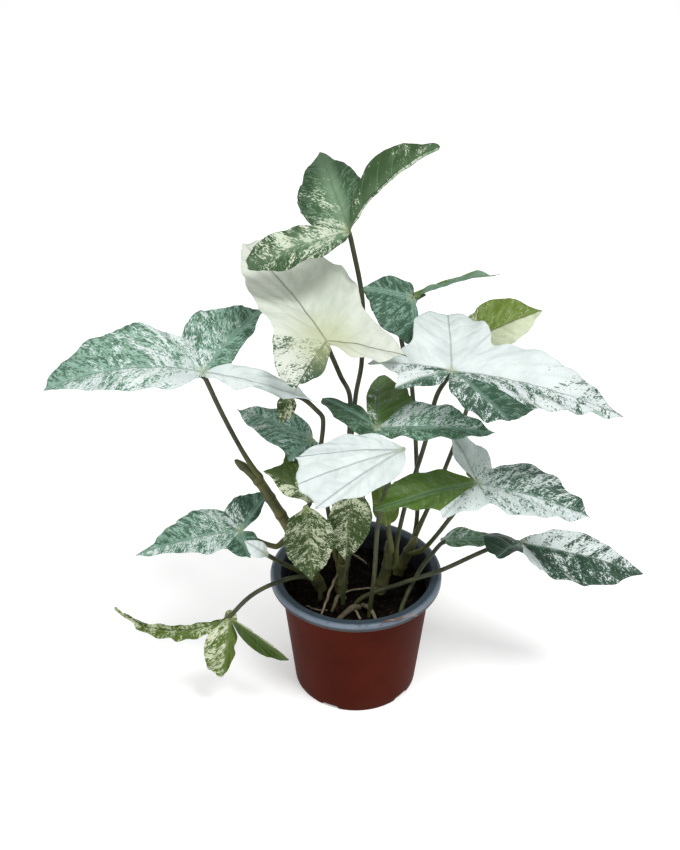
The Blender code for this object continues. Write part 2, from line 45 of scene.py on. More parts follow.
class Link:
    def __init__(self, sheet, socket):
        self.sheet = sheet
        self.socket = socket

    def maths(self, operation, *values):
        return self.sheet.add("ShaderNodeMath", {"operation": operation}, dict(enumerate(values)))

    def __add__(self, other):
        return self.maths("ADD", self, other)

    def __radd__(self, other):
        return self.maths("ADD", other, self)

    def __sub__(self, other):
        return self.maths("SUBTRACT", self, other)

    def __rsub__(self, other):
        return self.maths("SUBTRACT", other, self)

    def __mul__(self, other):
        return self.maths("MULTIPLY", self, other)

    def __rmul__(self, other):
        return self.maths("MULTIPLY", other, self)

    def __truediv__(self, other):
        return self.maths("DIVIDE", self, other)

    def __pow__(self, other):
        return self.maths("POWER", self, other)

    def __abs__(self):
        return self.maths("ABSOLUTE", self)

    def fraction(self):
        return self.maths("FRACT", self)

    def largest(self, other):
        return self.maths("MAXIMUM", self, other)

    def between(self, low, high):  # 0 below low, 1 above high, smooth in the middle
        return self.sheet.add("ShaderNodeMapRange", {"interpolation_type": "SMOOTHSTEP"},
                              {"Value": self, "From Min": low, "From Max": high}, "Result")


class Sheet:
    def __init__(self, tree):
        self.tree = tree

    @staticmethod
    def find(sockets, name):
        if isinstance(name, int):
            return sockets[name]
        for socket in sockets:
            if socket.identifier == name:
                return socket
        return sockets[name]

    def add(self, kind, settings=None, inputs=None, output=0):
        made = self.tree.nodes.new(kind)
        for name, value in (settings or {}).items():
            setattr(made, name, value)
        for name, value in (inputs or {}).items():
            socket = self.find(made.inputs, name)
            if isinstance(value, Link):
                self.tree.links.new(value.socket, socket)
            else:
                socket.default_value = value
        return Link(self, self.find(made.outputs, output))

    def mix(self, factor, first, second):
        if not isinstance(first, Link):
            first = (*first, 1.0)
        if not isinstance(second, Link):
            second = (*second, 1.0)
        return self.add("ShaderNodeMix", {"data_type": "RGBA"},
                        {"Factor_Float": factor, "A_Color": first, "B_Color": second}, "Result_Color")

    def noise(self, vector, scale, detail=2.0, roughness=0.5):
        return self.add("ShaderNodeTexNoise", None,
                        {"Vector": vector, "Scale": scale, "Detail": detail, "Roughness": roughness}, "Fac")

    def join(self, x, y, z):
        return self.add("ShaderNodeCombineXYZ", None, {"X": x, "Y": y, "Z": z})

    def split(self, vector):
        parts = self.add("ShaderNodeSeparateXYZ", None, {"Vector": vector})
        return [Link(self, socket) for socket in parts.socket.node.outputs]


def newFinish(name, roughness=0.5, specular=0.5):
    finish = bpy.data.materials.new(name)
    finish.use_nodes = True
    shader = finish.node_tree.nodes["Principled BSDF"]
    shader.inputs["Roughness"].default_value = roughness
    shader.inputs["Specular IOR Level"].default_value = specular
    return finish, Sheet(finish.node_tree), shader


def feed(sheet, shader, colour=None, roughness=None, height=None, depth=0.4):
    # height is in millimetres times depth
    if colour:
        sheet.tree.links.new(colour.socket, shader.inputs["Base Color"])
    if roughness:
        sheet.tree.links.new(roughness.socket, shader.inputs["Roughness"])
    if height:
        bump = sheet.add("ShaderNodeBump", None, {"Height": height, "Distance": depth * mm, "Strength": 1.0})
        sheet.tree.links.new(bump.socket, shader.inputs["Normal"])


def objectPlace(sheet):
    return sheet.add("ShaderNodeTexCoord", None, None, "Object")


# Meshes

def meshPiece(name, points, faces, finishes=(), slots=None):
    mesh = bpy.data.meshes.new(name)
    mesh.from_pydata((np.asarray(points, float) * mm).tolist(), [], faces)
    for finish in finishes:
        mesh.materials.append(finish)
    if slots is not None:
        mesh.polygons.foreach_set("material_index", slots)
    mesh.shade_smooth()
    piece = bpy.data.objects.new(name, mesh)
    scene.collection.objects.link(piece)
    return piece


def settle(piece):  # turns an object's modifiers into a plain mesh
    bpy.context.view_layer.update()
    shown = piece.evaluated_get(bpy.context.evaluated_depsgraph_get())
    mesh = bpy.data.meshes.new_from_object(shown)
    piece.modifiers.clear()
    piece.data = mesh
    return piece


def dress(piece, slot, *nodes):
    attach(piece, "root")
    if nodes:
        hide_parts(*nodes)


# Geometry Nodes: a round stalk of varying thickness along each line of a mesh

def stalkTree():
    tree = bpy.data.node_groups.new("stalk", "GeometryNodeTree")
    tree.interface.new_socket("Geometry", in_out="INPUT", socket_type="NodeSocketGeometry")
    tree.interface.new_socket("Sides", in_out="INPUT", socket_type="NodeSocketInt")
    tree.interface.new_socket("Finish", in_out="INPUT", socket_type="NodeSocketMaterial")
    tree.interface.new_socket("Geometry", in_out="OUTPUT", socket_type="NodeSocketGeometry")
    sheet = Sheet(tree)
    inputs = tree.nodes.new("NodeGroupInput")
    line, sides, finish = [Link(sheet, socket) for socket in inputs.outputs[:3]]
    curve = sheet.add("GeometryNodeMeshToCurve", None, {"Mesh": line})
    thick = sheet.add("GeometryNodeInputNamedAttribute", {"data_type": "FLOAT"}, {"Name": "thick"},
                      "Attribute")
    ring = sheet.add("GeometryNodeCurvePrimitiveCircle", {"mode": "RADIUS"},
                     {"Resolution": sides, "Radius": 1.0}, "Curve")
    skin = sheet.add("GeometryNodeCurveToMesh", None,
                     {"Curve": curve, "Profile Curve": ring, "Scale": thick, "Fill Caps": True})
    skin = sheet.add("GeometryNodeSetShadeSmooth", None, {"Geometry": skin, "Shade Smooth": True})
    skin = sheet.add("GeometryNodeRealizeInstances", None, {"Geometry": skin})
    skin = sheet.add("GeometryNodeSetMaterial", None, {"Geometry": skin, "Material": finish})
    result = tree.nodes.new("NodeGroupOutput")
    tree.links.new(skin.socket, result.inputs[0])
    return tree


def setInput(modifier, name, value):
    for item in modifier.node_group.interface.items_tree:
        if item.in_out == "INPUT" and item.name == name:
            modifier[item.identifier] = value


stalks = stalkTree()


def stalkPiece(name, lines, finish, sides=12):
    # each line is a pair: its points and the radius at each point, in millimetres
    points = []
    edges = []
    thick = []
    flat = []
    for line, radii in lines:
        start = len(points)
        away = along(line)
        points += list(line)
        thick += list(radii)
        edges += [(start + k, start + k + 1) for k in range(len(line) - 1)]
        flat += [(distance / 100, 0.0, 0.0) for distance in away]
    mesh = bpy.data.meshes.new(name)
    mesh.from_pydata((np.asarray(points) * mm).tolist(), edges, [])
    mesh.attributes.new("thick", "FLOAT", "POINT").data.foreach_set("value", np.asarray(thick) * mm)
    mesh.attributes.new("flat", "FLOAT_VECTOR", "POINT").data.foreach_set("vector", np.ravel(flat))
    piece = bpy.data.objects.new(name, mesh)
    scene.collection.objects.link(piece)
    change = piece.modifiers.new("stalk", "NODES")
    change.node_group = stalks
    setInput(change, "Sides", sides)
    setInput(change, "Finish", finish)
    return settle(piece)


# Lines

def unit(vector):
    return np.asarray(vector, float) / np.linalg.norm(vector)


def along(line):
    return np.concatenate([[0.0], np.cumsum(np.linalg.norm(np.diff(line, axis=0), axis=1))])


def smoothRoute(route, step=1.5):
    route = [np.asarray(point, float) for point in route]
    padded = [2 * route[0] - route[1], *route, 2 * route[-1] - route[-2]]
    line = []
    for a, b, c, d in zip(padded, padded[1:], padded[2:], padded[3:]):
        reach = np.linalg.norm(c - b)
        leave = (c - a) / (reach + np.linalg.norm(b - a)) * reach
        arrive = (d - b) / (np.linalg.norm(d - c) + reach) * reach
        steps = max(2, round(reach / step))
        for k in range(steps):
            t = k / steps
            line.append((2 * t**3 - 3 * t**2 + 1) * b + (t**3 - 2 * t**2 + t) * leave
                        + (3 * t**2 - 2 * t**3) * c + (t**3 - t**2) * arrive)
    line.append(route[-1])
    return np.array(line)


# Pot

pot = dict(height=100.0, rimRadius=65.0, rimDepth=5.5, rimCurve=2.0, wall=1.4, wallTop=58.0, base=47.5,
           floorUnder=3.0, floor=1.8, foot=4.5, segments=160, notches=5, notchWidth=13.0,
           notchHeight=2.4, firstNotch=246.0, drains=6, drainRadius=4.0, drainCircle=27.0,
           firstDrain=34.5, centreDrain=5.0)


def wallRadius(z):
    return pot["base"] + (pot["wallTop"] - pot["base"]) * z / pot["height"]


def arc(centre, radius, start, steps=8):
    turns = [math.radians(start - 90.0 * k / steps) for k in range(steps + 1)]
    return [(centre[0] + radius * math.cos(a), centre[1] + radius * math.sin(a)) for a in turns]


def potFinishes():
    red, sheet, shader = newFinish("potRed", 0.5, 0.03)
    place = objectPlace(sheet)
    x, y, z = sheet.split(place)
    cloud = sheet.noise(place, 22.0, 4.0, 0.6)
    dust = sheet.noise(place, 260.0, 3.0, 0.7).between(0.64, 0.78)
    low = (0.022 - z).between(0.0, 0.03) * sheet.noise(place, 60.0, 3.0).between(0.4, 0.7)
    colour = sheet.mix(cloud.between(0.3, 0.7), (0.046, 0.0055, 0.0018), (0.062, 0.0078, 0.0028))
    colour = sheet.mix(dust * 0.12 + low * 0.15, colour, (0.10, 0.045, 0.028))
    feed(sheet, shader, colour, 0.46 + cloud * 0.1 + dust * 0.2, cloud * 0.3 + dust * 0.3, 0.12)
    grey, sheet, shader = newFinish("potGrey", 0.35, 0.25)
    place = objectPlace(sheet)
    x, y, z = sheet.split(place)
    away = (x * x + y * y) ** 0.5
    cloud = sheet.noise(place, 45.0, 4.0, 0.6)
    soiled = sheet.noise(place, 170.0, 4.0, 0.65).between(0.54, 0.72)
    paintedLipHighlight = away.between(0.0615, 0.0636) * z.between(0.0962, 0.0985)  # painted highlight: a light line along the lip's outer top edge
    # colour of the painted highlight on the lip's outer edge
    lip = sheet.mix(cloud.between(0.3, 0.7), (0.105, 0.135, 0.175), (0.155, 0.190, 0.235))
    # painted shade: the skirt below the lip's top is a darker grey than the blue-grey top
    body = sheet.mix(z.between(0.0955, 0.0985), (0.038, 0.035, 0.038), (0.026, 0.042, 0.058))
    colour = sheet.mix(paintedLipHighlight, body, lip)
    colour = sheet.mix(soiled * 0.5, colour, (0.030, 0.024, 0.018))
    feed(sheet, shader, colour, 0.34 + soiled * 0.35 + cloud * 0.1, soiled + cloud * 0.5, 0.15)
    inner, sheet, shader = newFinish("potInside", 0.5, 0.15)
    place = objectPlace(sheet)
    x, y, z = sheet.split(place)
    soiled = sheet.noise(place, 120.0, 4.0, 0.65).between(0.42, 0.62)
    colour = sheet.mix(soiled, (0.016, 0.019, 0.024), (0.009, 0.008, 0.006))
    # painted shade: the inner wall is lighter near the top and darker deeper down inside the pot
    colour = sheet.mix(z.between(0.088, 0.098) * 0.4, colour, (0.040, 0.052, 0.066))
    feed(sheet, shader, colour, 0.45 + soiled * 0.4, soiled, 0.2)
    return red, grey, inner


def makePot():
    top = pot["height"]
    curve = pot["rimCurve"]
    wall = pot["wall"]
    rim = pot["rimRadius"]
    floorTop = pot["floorUnder"] + pot["floor"]
    inside = wallRadius(top) - wall
    foot = wallRadius(0.0)
    profile = arc((inside + curve, top - curve), curve, 180.0)
    profile += arc((rim - curve, top - curve), curve, 90.0)
    profile += [(rim, top - 5.0), (rim, top - pot["rimDepth"] + 0.4),
                (rim - 0.3, top - pot["rimDepth"]), (rim - wall, top - pot["rimDepth"]),
                (rim - wall, top - curve), (wallRadius(top) + wall, top - wall)]
    greyCount = len(profile)
    profile += [(wallRadius(z), z) for z in np.linspace(top - curve - wall, 0.6, 22)]
    profile += [(foot - 0.35, 0.0), (foot - pot["foot"], 0.0),
                (foot - pot["foot"] - wall, pot["floorUnder"]),
                (pot["centreDrain"], pot["floorUnder"])]
    redCount = len(profile) - greyCount
    profile += [(pot["centreDrain"], floorTop), (wallRadius(floorTop) - wall - 2.0, floorTop),
                (wallRadius(floorTop) - wall, floorTop + 2.0)]
    profile += [(wallRadius(z) - wall, z) for z in np.linspace(20.0, top - curve - 3.0, 12)]
    profile = profile[::-1]
    count = len(profile)
    segments = pot["segments"]
    points = []
    faces = []
    for turn in range(segments):
        angle = math.tau * turn / segments
        notch = (math.degrees(angle) - pot["firstNotch"] + 36.0) % 72.0 - 36.0
        offset = abs(math.radians(notch)) * pot["base"]
        lift = pot["notchHeight"] * min(max((pot["notchWidth"] / 2 + 0.6 - offset) / 1.2, 0.0), 1.0)
        for radius, z in profile:
            raised = max(z, lift) if radius > foot - pot["foot"] - wall / 2 else z
            points.append((radius * math.cos(angle), radius * math.sin(angle), raised))
        near = turn * count
        far = (turn + 1) % segments * count
        for k in range(count):
            after = (k + 1) % count
            faces.append((near + k, near + after, far + after, far + k))
    first = count - greyCount - redCount
    slots = [2 if k < first else 0 if k < count - greyCount else 1 for k in range(count)] * segments
    piece = meshPiece("nurseryPot", points, faces, potFinishes(), slots)
    for k in range(pot["drains"]):
        angle = math.radians(pot["firstDrain"]) + math.tau * k / pot["drains"]
        centre = (pot["drainCircle"] * math.cos(angle), pot["drainCircle"] * math.sin(angle))
        turns = [math.tau * n / 24 + 0.05 for n in range(24)]
        ring = [(centre[0] + pot["drainRadius"] * math.cos(a), centre[1] + pot["drainRadius"] * math.sin(a))
                for a in turns]
        cutter = meshPiece("drain", [(x, y, 0.0) for x, y in ring] + [(x, y, 8.0) for x, y in ring],
                           [tuple(range(24))[::-1], tuple(range(24, 48))]
                           + [(n, (n + 1) % 24, 24 + (n + 1) % 24, 24 + n) for n in range(24)])
        cut = piece.modifiers.new("drain", "BOOLEAN")
        cut.operation = "DIFFERENCE"
        cut.object = cutter
        settle(piece)
        bpy.data.objects.remove(cutter)
    dress(piece, "pot_plastic", "pot")


makePot()
print("pot done")


# Potting mix

soil = dict(level=79.0, mound=4.0, bump=2.4, bumpSize=13.0, edge=54.0, floor=5.2, rings=44, spokes=132,
            crumbs=2600, chips=260, seed=5)


def soilHeight(x, y):
    away = math.hypot(x, y) / pot["wallTop"]
    lump = noise.noise(Vector((x, y, 0.0)) / soil["bumpSize"])
    return soil["level"] + soil["mound"] * (1.0 - away * away) + soil["bump"] * lump


def soilFinish(name, dark, light, fleck):
    finish, sheet, shader = newFinish(name, 0.9, 0.04)
    place = objectPlace(sheet)
    grain = sheet.noise(place, 420.0, 4.0, 0.65)
    patch = sheet.noise(place, 90.0, 3.0)
    colour = sheet.mix(patch.between(0.35, 0.7), dark, light)
    colour = sheet.mix(grain.between(0.63, 0.74) * 0.6, colour, fleck)
    feed(sheet, shader, colour, 0.8 + grain * 0.2, grain + patch, 1.2)
    return finish


def crumbTree():
    tree = bpy.data.node_groups.new("crumbs", "GeometryNodeTree")
    for name, kind in (("Geometry", "NodeSocketGeometry"), ("Count", "NodeSocketInt"),
                       ("Size", "NodeSocketFloat"), ("Flatness", "NodeSocketFloat"),
                       ("Seed", "NodeSocketInt"), ("Finish", "NodeSocketMaterial")):
        tree.interface.new_socket(name, in_out="INPUT", socket_type=kind)
    tree.interface.new_socket("Geometry", in_out="OUTPUT", socket_type="NodeSocketGeometry")
    sheet = Sheet(tree)
    inputs = tree.nodes.new("NodeGroupInput")
    ground, count, size, flatness, seed, finish = [Link(sheet, s) for s in inputs.outputs[:6]]
    points = sheet.add("GeometryNodeDistributePointsOnFaces", None,
                       {"Mesh": ground, "Density": count / 0.0092, "Seed": seed}, "Points")
    grain = sheet.add("GeometryNodeMeshIcoSphere", None, {"Radius": size, "Subdivisions": 1}, "Mesh")
    spread = sheet.add("FunctionNodeRandomValue", {"data_type": "FLOAT_VECTOR"},
                       {"Min": (0.4, 0.4, 0.4), "Max": (1.5, 1.0, 1.0), "Seed": seed}, "Value")
    squash = sheet.add("ShaderNodeVectorMath", {"operation": "MULTIPLY"},
                       {0: spread, 1: sheet.join(1.0, 1.0, flatness)}, "Vector")
    turn = sheet.add("FunctionNodeRandomValue", {"data_type": "FLOAT_VECTOR"},
                     {"Min": (-0.5, -0.5, 0.0), "Max": (0.5, 0.5, math.tau), "Seed": seed}, "Value")
    placed = sheet.add("GeometryNodeInstanceOnPoints", None,
                       {"Points": points, "Instance": grain, "Rotation": turn, "Scale": squash})
    placed = sheet.add("GeometryNodeRealizeInstances", None, {"Geometry": placed})
    placed = sheet.add("GeometryNodeSetMaterial", None, {"Geometry": placed, "Material": finish})
    result = tree.nodes.new("NodeGroupOutput")
    tree.links.new(placed.socket, result.inputs[0])
    return tree


def makeSoil():
    points = [(0.0, 0.0, soilHeight(0.0, 0.0))]
    faces = []
    spokes = soil["spokes"]
    for ring in range(1, soil["rings"] + 1):
        radius = soil["edge"] * ring / soil["rings"]
        for k in range(spokes):
            angle = math.tau * k / spokes
            x = radius * math.cos(angle)
            y = radius * math.sin(angle)
            fine = noise.fractal(Vector((x, y, 3.0)) / 4.0, 0.8, 2.0, 4)
            points.append((x, y, soilHeight(x, y) + 0.9 * fine))
    for k in range(spokes):
        faces.append((0, 1 + k, 1 + (k + 1) % spokes))
    for ring in range(1, soil["rings"]):
        a = 1 + (ring - 1) * spokes
        b = a + spokes
        faces += [(a + k, b + k, b + (k + 1) % spokes, a + (k + 1) % spokes) for k in range(spokes)]
    topCount = len(points)
    edge = topCount - spokes
    bottom = wallRadius(soil["floor"]) - pot["wall"] - 0.6
    for k in range(spokes):
        angle = math.tau * k / spokes
        points.append((bottom * math.cos(angle), bottom * math.sin(angle), soil["floor"]))
    faces += [(edge + k, topCount + k, topCount + (k + 1) % spokes, edge + (k + 1) % spokes)
              for k in range(spokes)]
    faces.append(tuple(range(topCount, topCount + spokes))[::-1])
    # these near-black soil and bark colours are partly their own colour and partly painted shade from the leaves
    # above
    dark = soilFinish("soilDark", (0.0024, 0.0020, 0.0014), (0.0075, 0.0052, 0.0038), (0.030, 0.020, 0.012))
    bark = soilFinish("barkChip", (0.009, 0.0055, 0.0035), (0.024, 0.014, 0.009), (0.055, 0.037, 0.022))
    ground = meshPiece("pottingMix", points, faces, [dark])
    tree = crumbTree()
    topFaces = [face for face in faces if max(face) < topCount - spokes]
    for name, count, size, flatness, finish in (("soilCrumbs", soil["crumbs"], 0.85, 0.8, dark),
                                                ("barkChips", soil["chips"], 2.0, 0.35, bark)):
        crumbs = meshPiece(name, points, topFaces)
        change = crumbs.modifiers.new("crumbs", "NODES")
        change.node_group = tree
        for label, value in (("Count", count), ("Size", size * mm), ("Flatness", flatness),
                             ("Seed", soil["seed"]), ("Finish", finish)):
            setInput(change, label, value)
        settle(crumbs)
        dress(crumbs, "potting_mix")
    dress(ground, "potting_mix", "potting_mix")


makeSoil()
print("potting mix done")


# Stems

stems = dict(
    left=dict(route=[(-20, 1, 56), (-26, 0, 80), (-38, 0, 109), (-50, 0, 139), (-61, 0, 162),
                     (-72, 0, 183), (-87, -1, 200)], radii=[5.0, 4.6, 4.4, 4.2, 4.0, 3.8, 2.2]),
    centre=dict(route=[(-8, -3, 56), (-11, -3, 84), (-9, -2, 110), (-4, 0, 138)],
                radii=[4.8, 4.8, 4.4, 2.6]),
    right=dict(route=[(16, -3, 56), (19, -3, 84), (24, -3, 108), (24, -6, 132)],
               radii=[4.6, 4.6, 4.2, 2.6]),
    back=dict(route=[(30, 20, 56), (34, 18, 84), (40, 16, 104), (46, 14, 120)],
              radii=[4.4, 4.4, 4.0, 2.4]),
)
nodeSpacing = 17.0
nodeSwell = 0.6


def stemFinish():
    finish, sheet, shader = newFinish("stemBark", 0.55, 0.4)
    place = objectPlace(sheet)
    x, y, z = sheet.split(place)
    flat = sheet.add("ShaderNodeAttribute", {"attribute_name": "flat"}, None, "Vector")
    run = sheet.split(flat)[0] * 100.0
    ring = abs((run / nodeSpacing).fraction() - 0.5).between(0.42, 0.485)
    fibre = sheet.noise(sheet.join(x * 500.0, y * 500.0, z * 60.0), 1.0, 3.0)
    blotch = sheet.noise(place, 70.0, 3.0)
    colour = sheet.mix(blotch.between(0.35, 0.65), (0.045, 0.058, 0.018), (0.115, 0.108, 0.036))
    colour = sheet.mix(fibre.between(0.55, 0.75) * 0.6, colour, (0.20, 0.17, 0.09))
    colour = sheet.mix(ring * 0.75, colour, (0.055, 0.038, 0.020))
    feed(sheet, shader, colour, 0.45 + fibre * 0.25, fibre * 0.7 + ring * 0.6, 0.35)
    return finish


stemBark = stemFinish()


def makeStem(name, stem):
    line = smoothRoute(stem["route"])
    run = along(line)
    stops = [int(np.linalg.norm(line - np.array(p), axis=1).argmin()) for p in stem["route"]]
    radii = np.interp(run, run[stops], stem["radii"])
    stem["line"] = line
    stem["thick"] = radii
    swell = nodeSwell * np.cos(math.pi * run / nodeSpacing) ** 16
    shown = radii + swell
    shown[-3:] *= (0.95, 0.8, 0.45)
    piece = stalkPiece("stem" + name.title(), [(line, shown)], stemBark, 16)
    dress(piece, "stem_" + name, "stem_" + name)


for name, stem in stems.items():
    makeStem(name, stem)
print("stems done")


# Leaves

palette = dict(
    cool=dict(dark=(0.014, 0.044, 0.023), green=(0.058, 0.128, 0.080), mint=(0.270, 0.435, 0.345),
              olive=(0.085, 0.150, 0.014), pale=(0.630, 0.690, 0.675), shade=(0.540, 0.600, 0.590),
              heart=(0.330, 0.400, 0.240), heartSize=7.0, band=1.6, edge=0.10,
              rib=(0.500, 0.560, 0.490), ribStrength=0.45),
    warm=dict(dark=(0.012, 0.036, 0.005), green=(0.050, 0.098, 0.026), mint=(0.220, 0.300, 0.130),
              olive=(0.120, 0.180, 0.012), pale=(0.560, 0.600, 0.430), shade=(0.420, 0.470, 0.310),
              heart=(0.260, 0.300, 0.110), heartSize=7.0, band=1.6, edge=0.15,
              rib=(0.300, 0.330, 0.140), ribStrength=0.6),
    cream=dict(dark=(0.018, 0.050, 0.025), green=(0.066, 0.135, 0.078), mint=(0.260, 0.370, 0.260),
               olive=(0.180, 0.220, 0.050), pale=(0.585, 0.620, 0.545), shade=(0.500, 0.545, 0.465),
               heart=(0.370, 0.405, 0.200), heartSize=36.0, band=1.2, edge=0.0,
               rib=(0.230, 0.235, 0.120), ribStrength=0.7),
    green=dict(dark=(0.014, 0.044, 0.015), green=(0.055, 0.122, 0.053), mint=(0.235, 0.360, 0.225),
               olive=(0.090, 0.165, 0.025), pale=(0.580, 0.640, 0.510), shade=(0.420, 0.500, 0.370),
               heart=(0.280, 0.340, 0.170), heartSize=9.0, band=5.0, edge=0.45,
               rib=(0.330, 0.400, 0.230), ribStrength=0.5),
)
veins = dict(least=4.0, share=0.085, lean=0.62, sweep=0.0045, wander=6.0, midrib=0.8)


def leafFinish(name, tint):
    finish, sheet, shader = newFinish("leaf" + name.title(), 0.45, 0.22)
    flat = sheet.add("ShaderNodeAttribute", {"attribute_name": "flat"}, None, "Vector")
    ahead, aside, seed = sheet.split(flat)
    ahead = ahead * 100.0
    aside = aside * 100.0
    tone = sheet.add("ShaderNodeAttribute", {"attribute_name": "tone"}, None, "Vector")
    paleness, deepness, warmth = sheet.split(tone)
    vein = sheet.add("ShaderNodeAttribute", {"attribute_name": "vein"}, None, "Vector")
    phase, run, unused = sheet.split(vein)
    run = run * 100.0
    under = sheet.add("ShaderNodeAttribute", {"attribute_name": "under"}, None, "Fac")
    rim = sheet.add("ShaderNodeAttribute", {"attribute_name": "rim"}, None, "Fac")
    side = abs(aside)
    # patches and specks both stretch along the side veins
    patch = sheet.noise(sheet.join(run * 0.11, aside * 0.045, seed * 9.0), 1.0, 2.0)
    blur = sheet.noise(sheet.join(run * 0.30, aside * 0.17, seed * 7.0 + 8.0), 1.0, 3.0, 0.55)
    speck = sheet.noise(sheet.join(run * 1.0, aside * 0.62, seed * 5.0 + 3.0), 1.0, 3.0, 0.68)
    mottle = patch * 0.27 + blur * 0.27 + speck * 0.46
    level = mottle - 0.5 - (0.5 - paleness) * 0.42
    white = level.between(-0.012, 0.016)
    halo = level.between(-0.085, -0.005)
    minty = (blur * 0.45 + speck * 0.55 - deepness * 0.10 - 0.5 + paleness * 0.08).between(-0.03, 0.05)
    centre = 1.0 - side.between(tint["band"] * 0.5, tint["band"] * 2.0)
    minty = minty.largest(centre * 0.8).largest(halo * 0.75)
    deep = (deepness + rim.between(0.45, 0.95) * tint["edge"]).between(0.0, 1.0)
    green = sheet.mix(deep, tint["green"], tint["dark"])
    green = sheet.mix(warmth, green, tint["olive"])
    green = sheet.mix(speck.between(0.40, 0.62) * 0.35, green, tint["dark"])
    mint = sheet.mix(warmth * 0.6, tint["mint"], tint["olive"])
    green = sheet.mix(minty * (0.85 - deep * 0.68), green, mint)
    cloud = sheet.noise(sheet.join(ahead * 0.035, aside * 0.035, seed * 3.0), 1.0, 2.0)
    pale = sheet.mix((cloud * 0.6 + blur * 0.4).between(0.38, 0.64), tint["pale"], tint["shade"])
    colour = sheet.mix(white, green, pale)
    # side veins, and the midrib in its groove
    ridge = abs(phase.fraction() - 0.5) * 2.0
    lateral = ridge.between(0.90, 0.995) * (1.0 - rim.between(0.7, 0.95))
    midrib = 1.0 - (side + ahead * 0.004).between(0.25, veins["midrib"])
    colour = sheet.mix(lateral * 0.25, colour, sheet.mix(white, mint, tint["shade"]))
    shown = (0.7 + white * (tint["ribStrength"] - 0.7)) * (1.0 - warmth * 0.85)
    colour = sheet.mix(midrib * shown, colour,
                       sheet.mix(white, tint["mint"], tint["rib"]))
    away = (ahead * ahead + aside * aside) ** 0.5
    heart = 1.0 - away.between(tint["heartSize"] * 0.1, tint["heartSize"])
    colour = sheet.mix(heart * 0.6, colour, tint["heart"])
    colour = sheet.mix(under * 0.55, colour, tint["mint"])
    height = (ridge * ridge * -0.5 - midrib * 0.9 + speck * 0.3) * (1.0 - under * 1.7)
    feed(sheet, shader, colour, 0.38 + speck * 0.14 + under * 0.18, height, 0.8)
    return finish


leafFinishes = {name: leafFinish(name, tint) for name, tint in palette.items()}


def stalkFinish():
    finish, sheet, shader = newFinish("petioleSkin", 0.42, 0.3)
    place = objectPlace(sheet)
    x, y, z = sheet.split(place)
    flat = sheet.add("ShaderNodeAttribute", {"attribute_name": "flat"}, None, "Vector")
    run = sheet.split(flat)[0] * 100.0
    fibre = sheet.noise(sheet.join(x * 420.0, y * 420.0, z * 50.0), 1.0, 3.0)
    blotch = sheet.noise(place, 110.0, 3.0)
    colour = sheet.mix(blotch.between(0.35, 0.65), (0.022, 0.030, 0.012), (0.048, 0.054, 0.022))
    sheath = 1.0 - run.between(14.0, 46.0)
    colour = sheet.mix(sheath * 0.65, colour, (0.090, 0.098, 0.020))
    colour = sheet.mix(fibre.between(0.52, 0.72) * 0.3, colour, (0.12, 0.11, 0.055))
    feed(sheet, shader, colour, 0.38 + fibre * 0.2, fibre, 0.25)
    return finish


petioleSkin = stalkFinish()

shape = dict(edgeStep=2.2, rise=0.66, merge=4.0, smallest=2.2, sinus=math.radians(34.0),
             thick=0.7, edgeThick=0.34, ringStep=2.4, quilt=0.45, arch=1.0, pucker=0.9, puckerSize=15.0)
petiole = dict(radius=1.7, sheath=2.7, sheathLength=40.0, midribReach=10.0, under=1.3, axilRise=5.0,
               buried=56.0)


def lobe(tip, left, right, bend=18.0, fold=10.0, roll=0.0, widest=0.38, paint=(0.3, 0.3, 0.3, 0.3),
         deep=0.2, warm=0.0):
    # paint is how pale the left half is at its base and tip, then the right half
    return dict(tip=tip, left=left, right=right, bend=bend, fold=fold, roll=roll, widest=widest,
                paint=paint, deep=deep, warm=warm)


